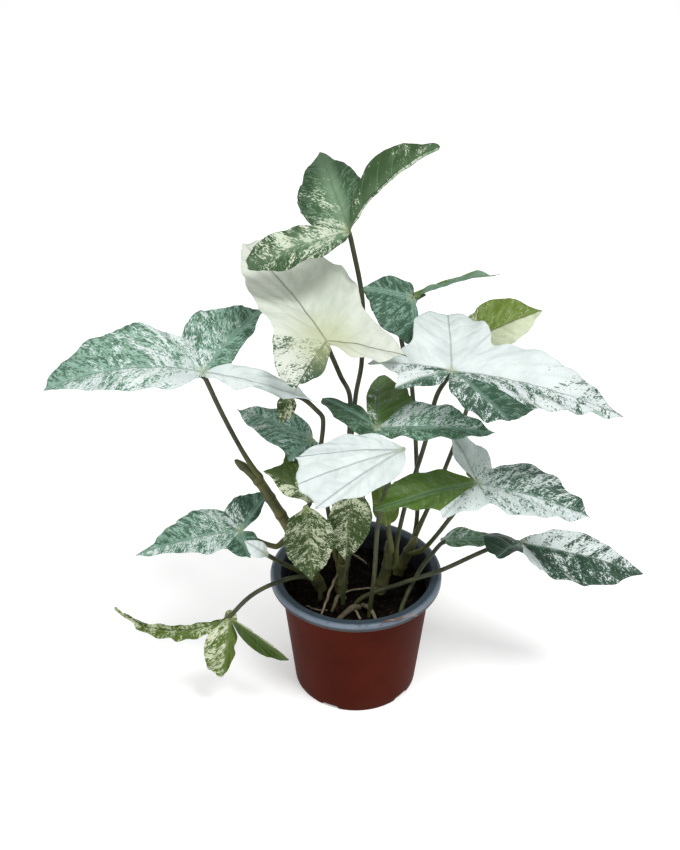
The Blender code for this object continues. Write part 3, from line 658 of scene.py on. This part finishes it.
class Blade:
    # the same sheet as the solid's: an arc through space for each lobe's midrib
    def __init__(self, leaf):
        lobes = leaf["lobes"]
        self.lobes = lobes
        self.at = np.array(leaf["at"], float)
        chords = np.array([one["tip"] for one in lobes], float) - self.at
        face = leaf.get("face")
        if face is None:
            face = np.linalg.svd(chords)[2][-1]
            face = face if face @ (0.0, -0.6, 0.8) > 0 else -face
        self.face = unit(face)
        front = unit(chords[0] - (chords[0] @ self.face) * self.face)
        left = np.cross(self.face, front)
        self.left = np.array([one["left"] for one in lobes], float)
        self.right = np.array([one["right"] for one in lobes], float)
        self.fold = np.radians([one["fold"] for one in lobes])
        self.widest = np.array([one["widest"] for one in lobes])
        self.heading = np.arctan2(chords @ left, chords @ front)
        self.length = []
        self.start = []
        self.rise = []
        self.across = []
        self.bend = []
        for one, chord in zip(lobes, chords):
            span = np.linalg.norm(chord)
            chord = chord / span
            up = unit(self.face - (self.face @ chord) * chord)
            roll = math.radians(one["roll"])
            up = up * math.cos(roll) + np.cross(chord, up) * math.sin(roll)
            half = math.radians(one["bend"] or 1.0) / 2
            self.length.append(span * half / math.sin(half))
            self.start.append(chord * math.cos(half) + up * math.sin(half))
            self.rise.append(up * math.cos(half) - chord * math.sin(half))
            self.across.append(np.cross(up, chord))
            self.bend.append(2 * half / self.length[-1])
        self.length = np.array(self.length)
        self.web = leaf.get("web", 0.16) * self.length[0] if len(lobes) > 1 else 0.0
        stalk = np.array(leaf["stalk"][-1], float) - self.at
        rear = leaf.get("rear")
        arrival = math.atan2(stalk @ left, stalk @ front) if rear is None else math.radians(rear)
        order = np.sort(self.heading % math.tau)
        after = int(np.searchsorted(order, arrival % math.tau)) % len(order)
        space = (order[after] - order[after - 1]) % math.tau or math.tau
        self.rear = order[after] - space / 2
        self.rearHalf = space / 2

    def lobeReaches(self, angle):
        taper = shape["rise"] * (1 - self.widest) / self.widest
        off = (np.atleast_1d(angle)[:, None] - self.heading + math.pi) % math.tau - math.pi
        width = np.where(off > 0, self.left, self.right)
        off = np.abs(off)
        ahead = off < math.pi / 2 - 0.01
        slope = np.tan(np.where(ahead, off, 0.0))
        low = np.zeros_like(off)
        high = np.ones_like(off)
        for _ in range(40):
            x = (low + high) / 2
            half = width * (x / self.widest) ** shape["rise"] * ((1 - x) / (1 - self.widest)) ** taper
            outside = slope * self.length * x > half
            high = np.where(outside, x, high)
            low = np.where(outside, low, x)
        return np.where(ahead, low * self.length / np.cos(np.where(ahead, off, 0.0)), 0.0)

    def reach(self, angle):
        off = np.abs((np.atleast_1d(angle) - self.rear + math.pi) % math.tau - math.pi)
        web = np.where(off > self.rearHalf, self.web, 0.0)
        merged = (self.lobeReaches(angle) ** shape["merge"]).sum(1) + web ** shape["merge"]
        merged = merged ** (1 / shape["merge"]) * np.minimum(off / shape["sinus"], 1.0) ** 0.5
        return np.maximum(merged, shape["smallest"])

    def place(self, angle, distance):
        share = (self.lobeReaches(angle) + 1.0) ** shape["merge"]
        share /= share.sum(1)[:, None]
        total = np.zeros((len(angle), 3))
        for k in range(len(self.length)):
            ahead = distance * np.cos(angle - self.heading[k])
            aside = distance * np.sin(angle - self.heading[k])
            lift = np.abs(aside) * math.sin(self.fold[k])
            turn = np.maximum(ahead, 0.0) * self.bend[k]
            forward = np.sin(turn) / self.bend[k] + np.minimum(ahead, 0.0)
            drop = (1 - np.cos(turn)) / self.bend[k]
            up = np.outer(np.cos(turn), self.rise[k]) + np.outer(np.sin(turn), self.start[k])
            spot = self.at + np.outer(forward, self.start[k]) - np.outer(drop, self.rise[k])
            spot = spot + np.outer(aside * math.cos(self.fold[k]), self.across[k]) + lift[:, None] * up
            total += share[:, k:k + 1] * spot
        return total

    def rays(self):
        # angles evenly spread along the edge, with one on each tip
        fine = np.linspace(0.0, math.tau, 2881)[:-1] + self.heading.min()
        reach = self.reach(fine)
        edge = np.stack([reach * np.cos(fine), reach * np.sin(fine)], 1)
        keys = sorted(int(np.abs((fine - h + math.pi) % math.tau - math.pi).argmin()) for h in self.heading)
        angles = []
        for a, b in zip(keys, keys[1:] + [keys[0] + len(fine)]):
            between = np.arange(a, b + 1) % len(fine)
            distance = along(edge[between]) + np.linspace(0.0, 14.0, len(between))
            steps = max(8, round(distance[-1] / shape["edgeStep"]))
            picked = [int(np.abs(distance - distance[-1] * k / steps).argmin()) for k in range(steps)]
            angles += [fine[between[k]] for k in picked]
        return np.array(list(dict.fromkeys(angles)))


def waves(angle, blade, leaf, seed):
    # how far each ray's edge leaves the smooth sheet, in millimetres
    reach = blade.reach(angle)
    edge = np.stack([reach * np.cos(angle), reach * np.sin(angle)], 1)
    wave = leaf.get("wave", 1.6)
    length = leaf.get("waveLength", 22.0)
    return np.array([wave * (noise.noise(Vector((distance / length * 1.6, seed, 0.0))) * 1.6
                             + 0.5 * math.sin(math.tau * distance / length + seed))
                     for distance in along(edge)])


def veinRun(ahead, aside, seed):
    # distance up the midrib at which the side vein through a flat point would leave it
    side = np.abs(aside)
    wander = [noise.noise(Vector((a / 24.0, b / 24.0, seed))) for a, b in zip(ahead, aside)]
    return ahead - side * veins["lean"] - side * side * veins["sweep"] + np.array(wander) * veins["wander"]


def makeBlade(name, leaf, blade, seed):
    angle = blade.rays()
    count = len(angle)
    jag = np.array([noise.noise(Vector((math.cos(a) * 9.0, math.sin(a) * 9.0, seed)))
                    + 0.6 * noise.noise(Vector((math.cos(a) * 24.0, math.sin(a) * 24.0, seed))) for a in angle])
    reach = blade.reach(angle) * (1.0 + leaf.get("jag", 0.02) * jag)
    rings = int(np.clip(reach.max() / shape["ringStep"], 8, 36))
    shares = (np.arange(1, rings + 1) / rings) ** 0.92
    middle = np.concatenate([blade.at[None, :], *[blade.place(angle, reach * part) for part in shares]])
    share = np.concatenate([[0.0], np.repeat(shares, count)])
    distance = np.concatenate([[0.0], np.outer(shares, reach).ravel()])
    around = np.concatenate([[0.0], np.tile(angle, rings)])
    faces = []
    for k in range(count):
        after = (k + 1) % count
        faces.append((0, 1 + k, 1 + after))
        for ring in range(rings - 1):
            a = 1 + ring * count
            b = a + count
            faces.append((a + k, b + k, b + after, a + after))
    corners = np.array([face if len(face) == 4 else (*face, face[2]) for face in faces])
    square = np.cross(middle[corners[:, 2]] - middle[corners[:, 0]],
                      middle[corners[:, 3]] - middle[corners[:, 1]])
    square[0::rings] = np.cross(middle[corners[0::rings, 1]] - middle[0],
                                middle[corners[0::rings, 2]] - middle[0])
    normals = np.zeros_like(middle)
    for k in range(4):
        np.add.at(normals, corners[:, k], square)
    normals /= np.maximum(np.linalg.norm(normals, axis=1), 1e-9)[:, None]
    # relief: waved edge, halves that arch, quilting between the veins and some puckering
    owner = blade.lobeReaches(around).argmax(1)
    turn = around - blade.heading[owner]
    ahead = distance * np.cos(turn)
    aside = distance * np.sin(turn)
    spacing = veins["least"] + veins["share"] * blade.length.max()
    ridge = np.abs(veinRun(ahead, aside, seed) / spacing % 1.0 - 0.5) * 2.0
    flatX = distance * np.cos(around) / shape["puckerSize"]
    flatY = distance * np.sin(around) / shape["puckerSize"]
    pucker = np.array([noise.noise(Vector((x, y, seed + 5.0))) for x, y in zip(flatX, flatY)])
    lift = np.concatenate([[0.0], np.tile(waves(angle, blade, leaf, seed), rings)]) * share ** 2.5
    inside = np.clip(share * 4.0, 0.0, 1.0) * (1.0 - share ** 6)
    lift += shape["arch"] * np.sin(math.pi * share) * np.clip(np.abs(aside) / 8.0, 0.0, 1.0)
    lift -= shape["quilt"] * ridge ** 3 * inside
    lift += leaf.get("pucker", shape["pucker"]) * pucker * np.clip(share * 3.0, 0.0, 1.0)
    middle = middle + normals * lift[:, None]
    half = (shape["thick"] + (shape["edgeThick"] - shape["thick"]) * share) / 2
    points = np.concatenate([middle + normals * half[:, None], middle - normals * half[:, None]])
    below = len(middle)
    rimStart = 1 + (rings - 1) * count
    shell = faces + [tuple(below + corner for corner in face[::-1]) for face in faces]
    for k in range(count):
        a = rimStart + k
        b = rimStart + (k + 1) % count
        shell.append((a, below + a, below + b, b))
    piece = meshPiece(name, points, shell, [leafFinishes[leaf["look"]]])
    paintBlade(piece.data, blade, angle, distance, around, share, seed, below)
    return piece


def paintBlade(mesh, blade, angle, distance, around, share, seed, below):
    # the flat place and the tones are kept for each face's corners, so that they change at a midrib
    count = len(angle)
    rings = (below - 1) // count
    middles = angle + ((np.roll(angle, -1) - angle) % math.tau) / 2
    owner = blade.lobeReaches(middles).argmax(1)
    paints = np.array([one["paint"] for one in blade.lobes])
    deep = np.array([one["deep"] for one in blade.lobes])
    warm = np.array([one["warm"] for one in blade.lobes])
    vertex = np.zeros(len(mesh.loops), int)
    mesh.loops.foreach_get("vertex_index", vertex)
    sizes = np.zeros(len(mesh.polygons), int)
    mesh.polygons.foreach_get("loop_total", sizes)
    sector = np.concatenate([np.tile(np.repeat(np.arange(count), rings), 2), np.arange(count)])
    ray = np.repeat(sector, sizes)
    vertex = vertex % below
    k = owner[ray]
    turn = np.where(vertex == 0, middles[ray], around[vertex]) - blade.heading[k]
    ahead = distance[vertex] * np.cos(turn)
    aside = distance[vertex] * np.sin(turn)
    onLeft = np.sin(middles[ray] - blade.heading[k]) > 0
    part = np.clip(ahead / blade.length[k], 0.0, 1.0)
    paint = paints[k]
    left = paint[:, 0] + (paint[:, 1] - paint[:, 0]) * part
    right = paint[:, 2] + (paint[:, 3] - paint[:, 2]) * part
    flat = np.stack([ahead / 100, aside / 100, np.full(len(ahead), seed * 0.73) + k * 0.31], 1)
    tone = np.stack([np.where(onLeft, left, right), deep[k], warm[k]], 1)
    run = veinRun(ahead, aside, seed)
    spacing = veins["least"] + veins["share"] * blade.length.max()
    vein = np.stack([run / spacing, run / 100, np.zeros(len(run))], 1)
    mesh.attributes.new("flat", "FLOAT_VECTOR", "CORNER").data.foreach_set("vector", flat.ravel())
    mesh.attributes.new("tone", "FLOAT_VECTOR", "CORNER").data.foreach_set("vector", tone.ravel())
    mesh.attributes.new("vein", "FLOAT_VECTOR", "CORNER").data.foreach_set("vector", vein.ravel())
    mesh.attributes.new("rim", "FLOAT", "POINT").data.foreach_set("value", np.tile(share, 2))
    under = np.concatenate([np.zeros(below), np.ones(below)])
    mesh.attributes.new("under", "FLOAT", "POINT").data.foreach_set("value", under)


def petioleRoute(leaf, blade):
    place, where = leaf["foot"]
    if place == "soil":
        start = [(*where, petiole["buried"]), (*where, soilHeight(*where) + 2.0)]
    else:
        line = stems[place]["line"]
        k = int(np.abs(line[:, 2] - where).argmin())
        centre = line[k]
        upward = unit(line[min(k + 1, len(line) - 1)] - line[max(k - 1, 0)])
        aside = np.array(leaf["stalk"][0], float) - centre
        aside = unit(aside - (aside @ upward) * upward)
        start = [centre, centre + aside * (stems[place]["thick"][k] + 1.5) + upward * petiole["axilRise"]]
    midrib = blade.place(np.full(2, blade.heading[0]), np.array([0.0, petiole["midribReach"]]))
    under = blade.at - petiole["under"] * blade.face
    finish = midrib[1] - petiole["under"] * blade.rise[0]
    line = smoothRoute([*start, *leaf["stalk"], under])
    run = along(line)
    back = line[run < run[-1] - petiole["midribReach"] / 2]
    t = np.linspace(0.0, 1.0, 13)[:, None]
    corner = (1 - t) ** 2 * back[-1] + 2 * t * (1 - t) * under + t * t * finish
    return np.concatenate([back[:-1], corner])


def makePetiole(name, leaf, blade):
    line = petioleRoute(leaf, blade)
    run = along(line)
    widen = np.clip(1.0 - run / petiole["sheathLength"], 0.0, 1.0) ** 1.5
    radii = petiole["radius"] + (petiole["sheath"] - petiole["radius"]) * widen
    end = np.clip((run[-1] - run) / petiole["midribReach"], 0.0, 1.0)
    radii *= 0.45 + 0.55 * end ** 0.6
    return stalkPiece(name, [(line, radii)], petioleSkin, 12)


leafCount = 0


def makeLeaf(name, node, leaf):
    global leafCount
    leafCount += 1
    blade = Blade(leaf)
    sheetPiece = makeBlade(name + "Blade", leaf, blade, leafCount * 1.37)
    dress(sheetPiece, node, node)
    stalk = makePetiole(name + "Petiole", leaf, blade)
    dress(stalk, node, node)
    print(name, "leaf done")


topLeaf = dict(at=(-6, 25, 363), look="green", foot=("centre", 112), wave=1.8, waveLength=24.0, web=0.1,
               stalk=[(-8, 10, 157), (-1, 16, 243), (3, 18, 269), (3, 21, 316)], jag=0.035, pucker=1.4, lobes=[
                   lobe((-26, 94, 394), 26, 20, paint=(0.46, 0.18, 0.24, 0.04), deep=0.35),
                   lobe((-71, -10, 353), 19, 16, 18, widest=0.55, paint=(0.46, 0.34, 0.60, 0.42), deep=0.4,
                        warm=0.15),
                   lobe((53, 35, 416), 21, 1, 60, widest=0.52, paint=(0.30, 0.30, 0.60, 0.50), deep=0.95,
                        warm=0.2)])
makeLeaf("top", "leaf_top", topLeaf)

whiteLargeLeaf = dict(at=(-21, -25, 308), look="cream", foot=("centre", 128), wave=2.0, pucker=1.3,
                      web=0.3, rear=180,
                      stalk=[(-12, -6, 150), (-8, -2, 190), (-5, 6, 246), (-12, -6, 272)], lobes=[
                          lobe((-80, 70, 337), 30, 42, paint=(1.1, 1.1, 1.1, 1.1)),
                          lobe((30, -20, 294), 19, 20, paint=(1.1, 1.1, 1.1, 1.1)),
                          lobe((-38, -55, 293), 10, 17, widest=0.55, paint=(0.46, 0.38, 0.62, 0.50),
                               deep=0.75)])
makeLeaf("whiteLarge", "leaf_white_large", whiteLargeLeaf)

farLeftLeaf = dict(at=(-103, -20, 282), look="cool", foot=("left", 180), wave=3.0, waveLength=30.0,
                   jag=0.035, stalk=[(-73, -3, 192), (-82, -6, 213), (-93, -14, 247)], lobes=[
                       lobe((-206, -42, 282), 24, 34, 48, paint=(0.62, 0.40, 0.56, 0.22), deep=0.05),
                       lobe((-26, -50, 275), 11, 8, 24, paint=(1.1, 1.1, 1.1, 1.1)),
                       lobe((-66, 35, 303), 31, 13, 26, paint=(0.48, 0.28, 0.28, 0.12), deep=0.15)])
makeLeaf("farLeft", "leaf_far_left", farLeftLeaf)

midLeftLeaf = dict(at=(-32, 20, 204), look="cool", foot=("centre", 96),
                   stalk=[(-16, 14, 134), (-19, 14, 184)], lobes=[
                       lobe((-89, 45, 214), 20, 14, paint=(0.32, 0.42, 0.32, 0.42), deep=0.1),
                       lobe((-49, 0, 199), 14, 16, paint=(0.38, 0.34, 0.20, 0.20), deep=0.3)])
makeLeaf("midLeft", "leaf_mid_left", midLeftLeaf)

lowLeftLeaf = dict(at=(-86, -5, 140), look="cool", foot=("left", 128), web=0.24, jag=0.04, wave=2.2,
                   stalk=[(-60, -8, 128)], lobes=[
                       lobe((-158, -35, 139), 15, 21, 30, widest=0.32, paint=(0.54, 0.42, 0.44, 0.24), deep=0.2),
                       lobe((-77, -30, 135), 12, 14, paint=(0.14, 0.06, 0.10, 0.06), deep=0.4),
                       lobe((-66, 25, 154), 16, 5, paint=(0.38, 0.12, 0.24, 0.10), deep=0.5)])
makeLeaf("lowLeft", "leaf_low_left", lowLeftLeaf)

whiteCentreLeaf = dict(at=(29, -52, 241), look="cool", foot=("soil", (10, -31)), wave=2.0,
                       stalk=[(13, -31, 122), (15, -29, 166), (22, -38, 210)], lobes=[
                           lobe((-25, -97, 228), 17, 22, paint=(1.1, 1.1, 1.1, 1.1), warm=1.0),
                           lobe((-37, -62, 242), 16, 12, paint=(1.1, 1.1, 1.1, 1.1), warm=1.0),
                           lobe((-32, -80, 235), 12, 12, widest=0.6, paint=(1.1, 1.1, 1.1, 1.1), warm=0.3)])
makeLeaf("whiteCentre", "leaf_white_centre", whiteCentreLeaf)

darkCentreLeaf = dict(at=(13, -30, 245), look="cool", foot=("soil", (-10, -20)), jag=0.03, wave=2.2,
                      stalk=[(-8, -20, 112), (-2, -18, 145), (4, -18, 180), (9, -20, 216)], lobes=[
                          lobe((91, -45, 250), 22, 18, paint=(0.52, 0.38, 0.34, 0.20), deep=0.25, warm=0.1),
                          lobe((15, 35, 250), 19, 23, paint=(0.44, 0.30, 0.22, 0.04), deep=0.75, warm=0.75),
                          lobe((-27, -5, 256), 18, 9, paint=(0.20, 0.08, 0.14, 0.06), deep=0.6, warm=0.1)])
makeLeaf("darkCentre", "leaf_dark_centre", darkCentreLeaf)

rightLargeLeaf = dict(at=(62, -20, 283), look="cool", foot=("right", 104), rear=-110, wave=2.4, pucker=1.4,
                      jag=0.025, stalk=[(30, -4, 126), (36, -4, 165), (48, -2, 215), (54, -6, 255)], lobes=[
                          lobe((173, -45, 261), 33, 27, 26, paint=(1.00, 0.44, 0.48, 0.62), deep=0.7),
                          lobe((64, 45, 292), 26, 28, widest=0.6, paint=(1.1, 1.1, 1.1, 1.1)),
                          lobe((7, -10, 284), 12, 18, paint=(0.36, 0.74, 1.1, 1.1), deep=0.8),
                          lobe((24, -38, 281), 20, 12, paint=(0.42, 0.40, 0.50, 0.80), deep=0.5),
                          lobe((92, -71, 275), 21, 34, widest=0.6, paint=(0.34, 0.08, 0.44, 0.34), deep=0.6)])
makeLeaf("rightLarge", "leaf_right_large", rightLargeLeaf)

backLeaf = dict(at=(39, 48, 304), look="cool", foot=("back", 92), rear=-50, wave=2.2, pucker=1.4,
                stalk=[(45, 25, 111), (47, 30, 139), (40, 38, 239), (31, 45, 281)], lobes=[
                    lobe((104, 75, 310), 14, 14, 18, 10, -70, paint=(0.10, 0.10, 0.10, 0.10), deep=0.3,
                         warm=0.9),
                    lobe((3, 45, 313), 26, 12, paint=(0.12, 0.20, 0.10, 0.18), deep=0.3),
                    lobe((40, 15, 281), 3, 26, paint=(0.12, 0.10, 0.14, 0.12), deep=0.35)])
makeLeaf("back", "leaf_back", backLeaf)

backLimeLeaf = dict(at=(88, 55, 269), look="warm", foot=("back", 108), stalk=[(64, 35, 158), (84, 50, 220)],
                    jag=0.03, lobes=[
                        lobe((133, 60, 288), 22, 18, paint=(0.42, 0.26, 1.1, 1.1), deep=0.1, warm=0.9),
                        lobe((75, 72, 275), 12, 16, paint=(0.42, 0.36, 0.46, 0.4), deep=0.3, warm=0.7)])
makeLeaf("backLime", "leaf_back_lime", backLimeLeaf)

rightMidLeaf = dict(at=(84, -25, 196), look="cool", foot=("back", 104), wave=2.4, jag=0.03, pucker=1.3,
                    stalk=[(52, 0, 121), (73, -20, 173)], lobes=[
                        lobe((161, -50, 185), 26, 26, paint=(0.52, 0.38, 0.54, 0.64), deep=0.6),
                        lobe((69, 25, 207), 9, 16, paint=(0.70, 0.90, 0.56, 0.8), deep=0.3, warm=0.45),
                        lobe((11, -60, 198), 14, 24, paint=(0.14, 0.02, 0.08, 0.02), deep=0.5, warm=0.95),
                        lobe((60, -55, 190), 16, 16, paint=(0.62, 0.74, 0.46, 0.70), deep=0.5, warm=0.2)])
makeLeaf("rightMid", "leaf_right_mid", rightMidLeaf)

rightLowLeaf = dict(at=(123, -5, 129), look="cool", foot=("soil", (1, -19)), jag=0.04, wave=2.2, pucker=1.3,
                    stalk=[(32, -21, 103), (62, -20, 115), (92, -10, 124), (104, -8, 128)], lobes=[
                        lobe((208, -34, 123), 17, 30, roll=35, widest=0.4, paint=(0.62, 0.46, 0.40, 0.36),
                             deep=1.0),
                        lobe((101, -32, 139), 12, 20, widest=0.6, paint=(0.30, 0.20, 0.30, 0.20), deep=1.0),
                        lobe((131, -40, 135), 12, 12, paint=(0.76, 0.84, 0.84, 0.90), deep=0.8)])
makeLeaf("rightLow", "leaf_right_low", rightLowLeaf)

rightSmallLeaf = dict(at=(67, 20, 113), look="cool", foot=("soil", (33, -30)), face=(-0.1, -0.2, 0.97),
                      stalk=[(38, -22, 94), (48, -8, 106), (60, 8, 112)],
                      lobes=[lobe((110, 20, 112), 10, 10, paint=(0.54, 0.10, 0.46, 0.10), deep=0.2, warm=0.3)])
makeLeaf("rightSmall", "leaf_right_small", rightSmallLeaf)

overRimLeaf = dict(at=(-94, -35, 83), look="warm", foot=("soil", (-27, -12)), web=0.06, rear=122, wave=2.4,
                   waveLength=15.0, jag=0.04, pucker=2.0,
                   stalk=[(-27, -12, 95), (-41, -20, 109), (-62, -35, 114), (-78, -38, 105)], lobes=[
                       lobe((-174, -50, 105), 10, 4, -110, roll=48, paint=(0.40, 0.50, 0.40, 0.50),
                            deep=0.7, warm=0.6),
                       lobe((-100, -50, 37), 11, 17, widest=0.5, paint=(0.36, 0.20, 0.54, 0.44), deep=0.6,
                            warm=0.6),
                       lobe((-46, -62, 63), 1, 20, -20, widest=0.5, paint=(0.80, 0.60, 0.06, -0.1), deep=1.0,
                            warm=0.25)])
makeLeaf("overRim", "leaf_over_rim", overRimLeaf)

innerLeftLeaf = dict(at=(-31, -20, 179), look="warm", foot=("left", 140), stalk=[(-42, -12, 158)], lobes=[
    lobe((-66, -15, 200), 12, 12, paint=(0.52, 0.46, 0.34, 0.24), deep=0.9, warm=0.2),
    lobe((-52, 10, 200), 12, 12, paint=(0.30, 0.16, 0.14, 0.06), deep=0.9, warm=0.3)])
makeLeaf("innerLeft", "leaf_inner_left", innerLeftLeaf)

# its deep dark tones are partly the leaf's own mottled colour and partly painted shade under the canopy
hangingLeftLeaf = dict(at=(-36, -40, 186), look="warm", foot=("left", 100), face=(0.1, -0.95, 0.3), jag=0.05,
                       wave=2.4, pucker=2.0, stalk=[(-34, -20, 130), (-34, -36, 172)],
                       lobes=[lobe((-32, -45, 126), 18, 18, paint=(0.48, 0.40, 0.48, 0.42), deep=0.8, warm=0.1)])
makeLeaf("hangingLeft", "leaf_hanging_left", hangingLeftLeaf)

# its deep dark tones are partly the leaf's own mottled colour and partly painted shade under the canopy
hangingCentreLeaf = dict(at=(-4, -30, 194), look="warm", foot=("centre", 108), face=(0.1, -0.95, 0.3),
                         jag=0.05, wave=2.4, pucker=2.0, stalk=[(-10, -12, 155), (-9, -24, 184)],
                         lobes=[lobe((-8, -30, 133), 16, 16, paint=(0.42, 0.42, 0.46, 0.48), deep=0.85,
                                     warm=0.15)])
makeLeaf("hangingCentre", "leaf_hanging_centre", hangingCentreLeaf)

youngLeaf = dict(at=(23, -10, 150), look="warm", foot=("right", 122), face=(0.2, -0.95, 0.2),
                 stalk=[(24, -8, 140)],
                 lobes=[lobe((15, -10, 201), 10, 10, paint=(0.15, 0.10, 0.30, 0.10), deep=0.5, warm=0.7)])
makeLeaf("young", "leaf_young", youngLeaf)

dryLeaf = dict(at=(-47, -8, 258), look="warm", foot=("centre", 106), face=(0.1, -0.9, 0.4), jag=0.06,
               stalk=[(-20, 4, 145), (-26, 2, 200), (-24, -2, 235), (-29, -4, 244), (-38, -6, 254)],
               lobes=[lobe((-52, -14, 239), 7, 7, paint=(0.46, 0.46, 0.42, 0.42), deep=0.9, warm=0.1)])
makeLeaf("dry", "leaf_dry", dryLeaf)

smallWhiteLeaf = dict(at=(-64, -42, 147), look="cool", foot=("left", 96), face=(0.2, -0.7, 0.7),
                      stalk=[(-52, -22, 122)],
                      lobes=[lobe((-80, -42, 159), 6, 6, paint=(1.1, 1.1, 1.1, 1.1))])
makeLeaf("smallWhite", "leaf_small_white", smallWhiteLeaf)


# Roots and dead stalks on the potting mix

litter = dict(
    pale=[([(-14, -5, 100), (-20, -12, 88), (-26, -35, 83)], 1.1), ([(-2, 35, 88), (7, 31, 83), (12, 24, 80)], 0.8),
          ([(16, -5, 86), (6, -8, 88), (-5, -7, 85), (-16, -12, 82)], 0.7),
          ([(3, -37, 83), (0, -32, 85), (-3, -28, 83)], 1.0),
          ([(-38, -18, 80), (-30, -26, 83), (-22, -25, 81)], 0.6)],
    stub=[([(2, -25, 84), (-4, -31, 88), (-10, -36, 86), (-18, -43, 80)], 2.3),
          ([(5, -22, 84), (10, -30, 87), (15, -38, 82)], 1.8),
          ([(-8, -14, 84), (-14, -20, 90), (-18, -30, 84)], 1.6)],
    fibre=[([(18, -52, 90), (20, -61, 100.6), (26, -60, 101.6), (33, -56, 100.8)], 0.45),
           ([(24, -50, 92), (30, -58, 101), (38, -55, 102), (44, -54, 101)], 0.4),
           ([(30, -46, 88), (34, -54, 100), (30, -59, 101.4), (22, -60, 101.4), (16, -63, 99)], 0.35),
           ([(36, -42, 90), (40, -51, 101), (36, -56, 102), (28, -58, 101.8)], 0.4)],
)


def litterFinish(name, dark, light):
    finish, sheet, shader = newFinish(name, 0.75, 0.3)
    place = objectPlace(sheet)
    fibre = sheet.noise(place, 320.0, 4.0, 0.7)
    blotch = sheet.noise(place, 70.0, 2.0)
    colour = sheet.mix(blotch.between(0.35, 0.65), dark, light)
    colour = sheet.mix(fibre.between(0.55, 0.7) * 0.5, colour, dark)
    feed(sheet, shader, colour, 0.6 + fibre * 0.3, fibre, 0.4)
    return finish


def makeLitter():
    finishes = dict(pale=litterFinish("rootPale", (0.10, 0.075, 0.05), (0.27, 0.22, 0.15)),
                    stub=litterFinish("deadStalk", (0.055, 0.045, 0.025), (0.17, 0.15, 0.09)),
                    fibre=litterFinish("fibre", (0.12, 0.07, 0.045), (0.30, 0.20, 0.14)))
    for name, strands in litter.items():
        lines = []
        for route, radius in strands:
            line = smoothRoute(route, 1.0)
            wiggle = [noise.noise_vector(Vector(p) / 6.0) for p in line]
            line = line + np.array(wiggle) * 0.8
            lines.append((line, radius * (1.0 - 0.35 * np.linspace(0.0, 1.0, len(line)) ** 2)))
        piece = stalkPiece("litter" + name.title(), lines, finishes[name], 8)
        dress(piece, "potting_mix")


makeLitter()
print("litter done")


# Stage, light and camera

stage = dict(floorSize=14.0, floorColour=(0.94, 0.94, 0.935), floorGlow=0.16, world=(1.0, 1.0, 1.0),
             worldStrength=0.74, keyPlace=(0.9, -1.2, 3.2), keySize=1.1, keyPower=64.0,
             fillPlace=(-1.6, -1.2, 1.6), fillSize=1.6, fillPower=14.0)
view = dict(place=(-0.0121, -0.707, 0.662), pitch=31.5, lens=50.0)


def makeStage():
    floorFinish, sheet, shader = newFinish("floorPaper", 0.9, 0.2)
    grain = sheet.noise(objectPlace(sheet), 6.0, 2.0)
    feed(sheet, shader, sheet.mix(grain, stage["floorColour"], (0.92, 0.92, 0.915)))
    shader.inputs["Emission Color"].default_value = (1.0, 1.0, 1.0, 1.0)
    shader.inputs["Emission Strength"].default_value = stage["floorGlow"]
    half = stage["floorSize"] / 2 / mm
    floor = meshPiece("floor", [(-half, -half, 0), (half, -half, 0), (half, half, 0), (-half, half, 0)],
                      [(0, 1, 2, 3)], [floorFinish])
    world = bpy.data.worlds.new("studio")
    world.use_nodes = True
    world.node_tree.nodes["Background"].inputs["Color"].default_value = (*stage["world"], 1.0)
    world.node_tree.nodes["Background"].inputs["Strength"].default_value = stage["worldStrength"]
    scene.world = world
    for name in ("key", "fill"):
        lamp = bpy.data.lights.new(name, "AREA")
        lamp.shape = "DISK"
        lamp.size = stage[name + "Size"]
        lamp.energy = stage[name + "Power"]
        light = bpy.data.objects.new(name, lamp)
        light.location = stage[name + "Place"]
        aim = Vector((0.0, 0.0, 0.2)) - light.location
        light.rotation_euler = aim.to_track_quat("-Z", "Y").to_euler()
        scene.collection.objects.link(light)
    lens = bpy.data.cameras.new("camera")
    lens.lens = view["lens"]
    lens.sensor_width = 36.0
    camera = bpy.data.objects.new("camera", lens)
    camera.location = view["place"]
    camera.rotation_euler = (math.radians(90.0 - view["pitch"]), 0.0, 0.0)
    scene.collection.objects.link(camera)
    scene.camera = camera
    scene.view_settings.view_transform = "Standard"


makeStage()
print("stage done")
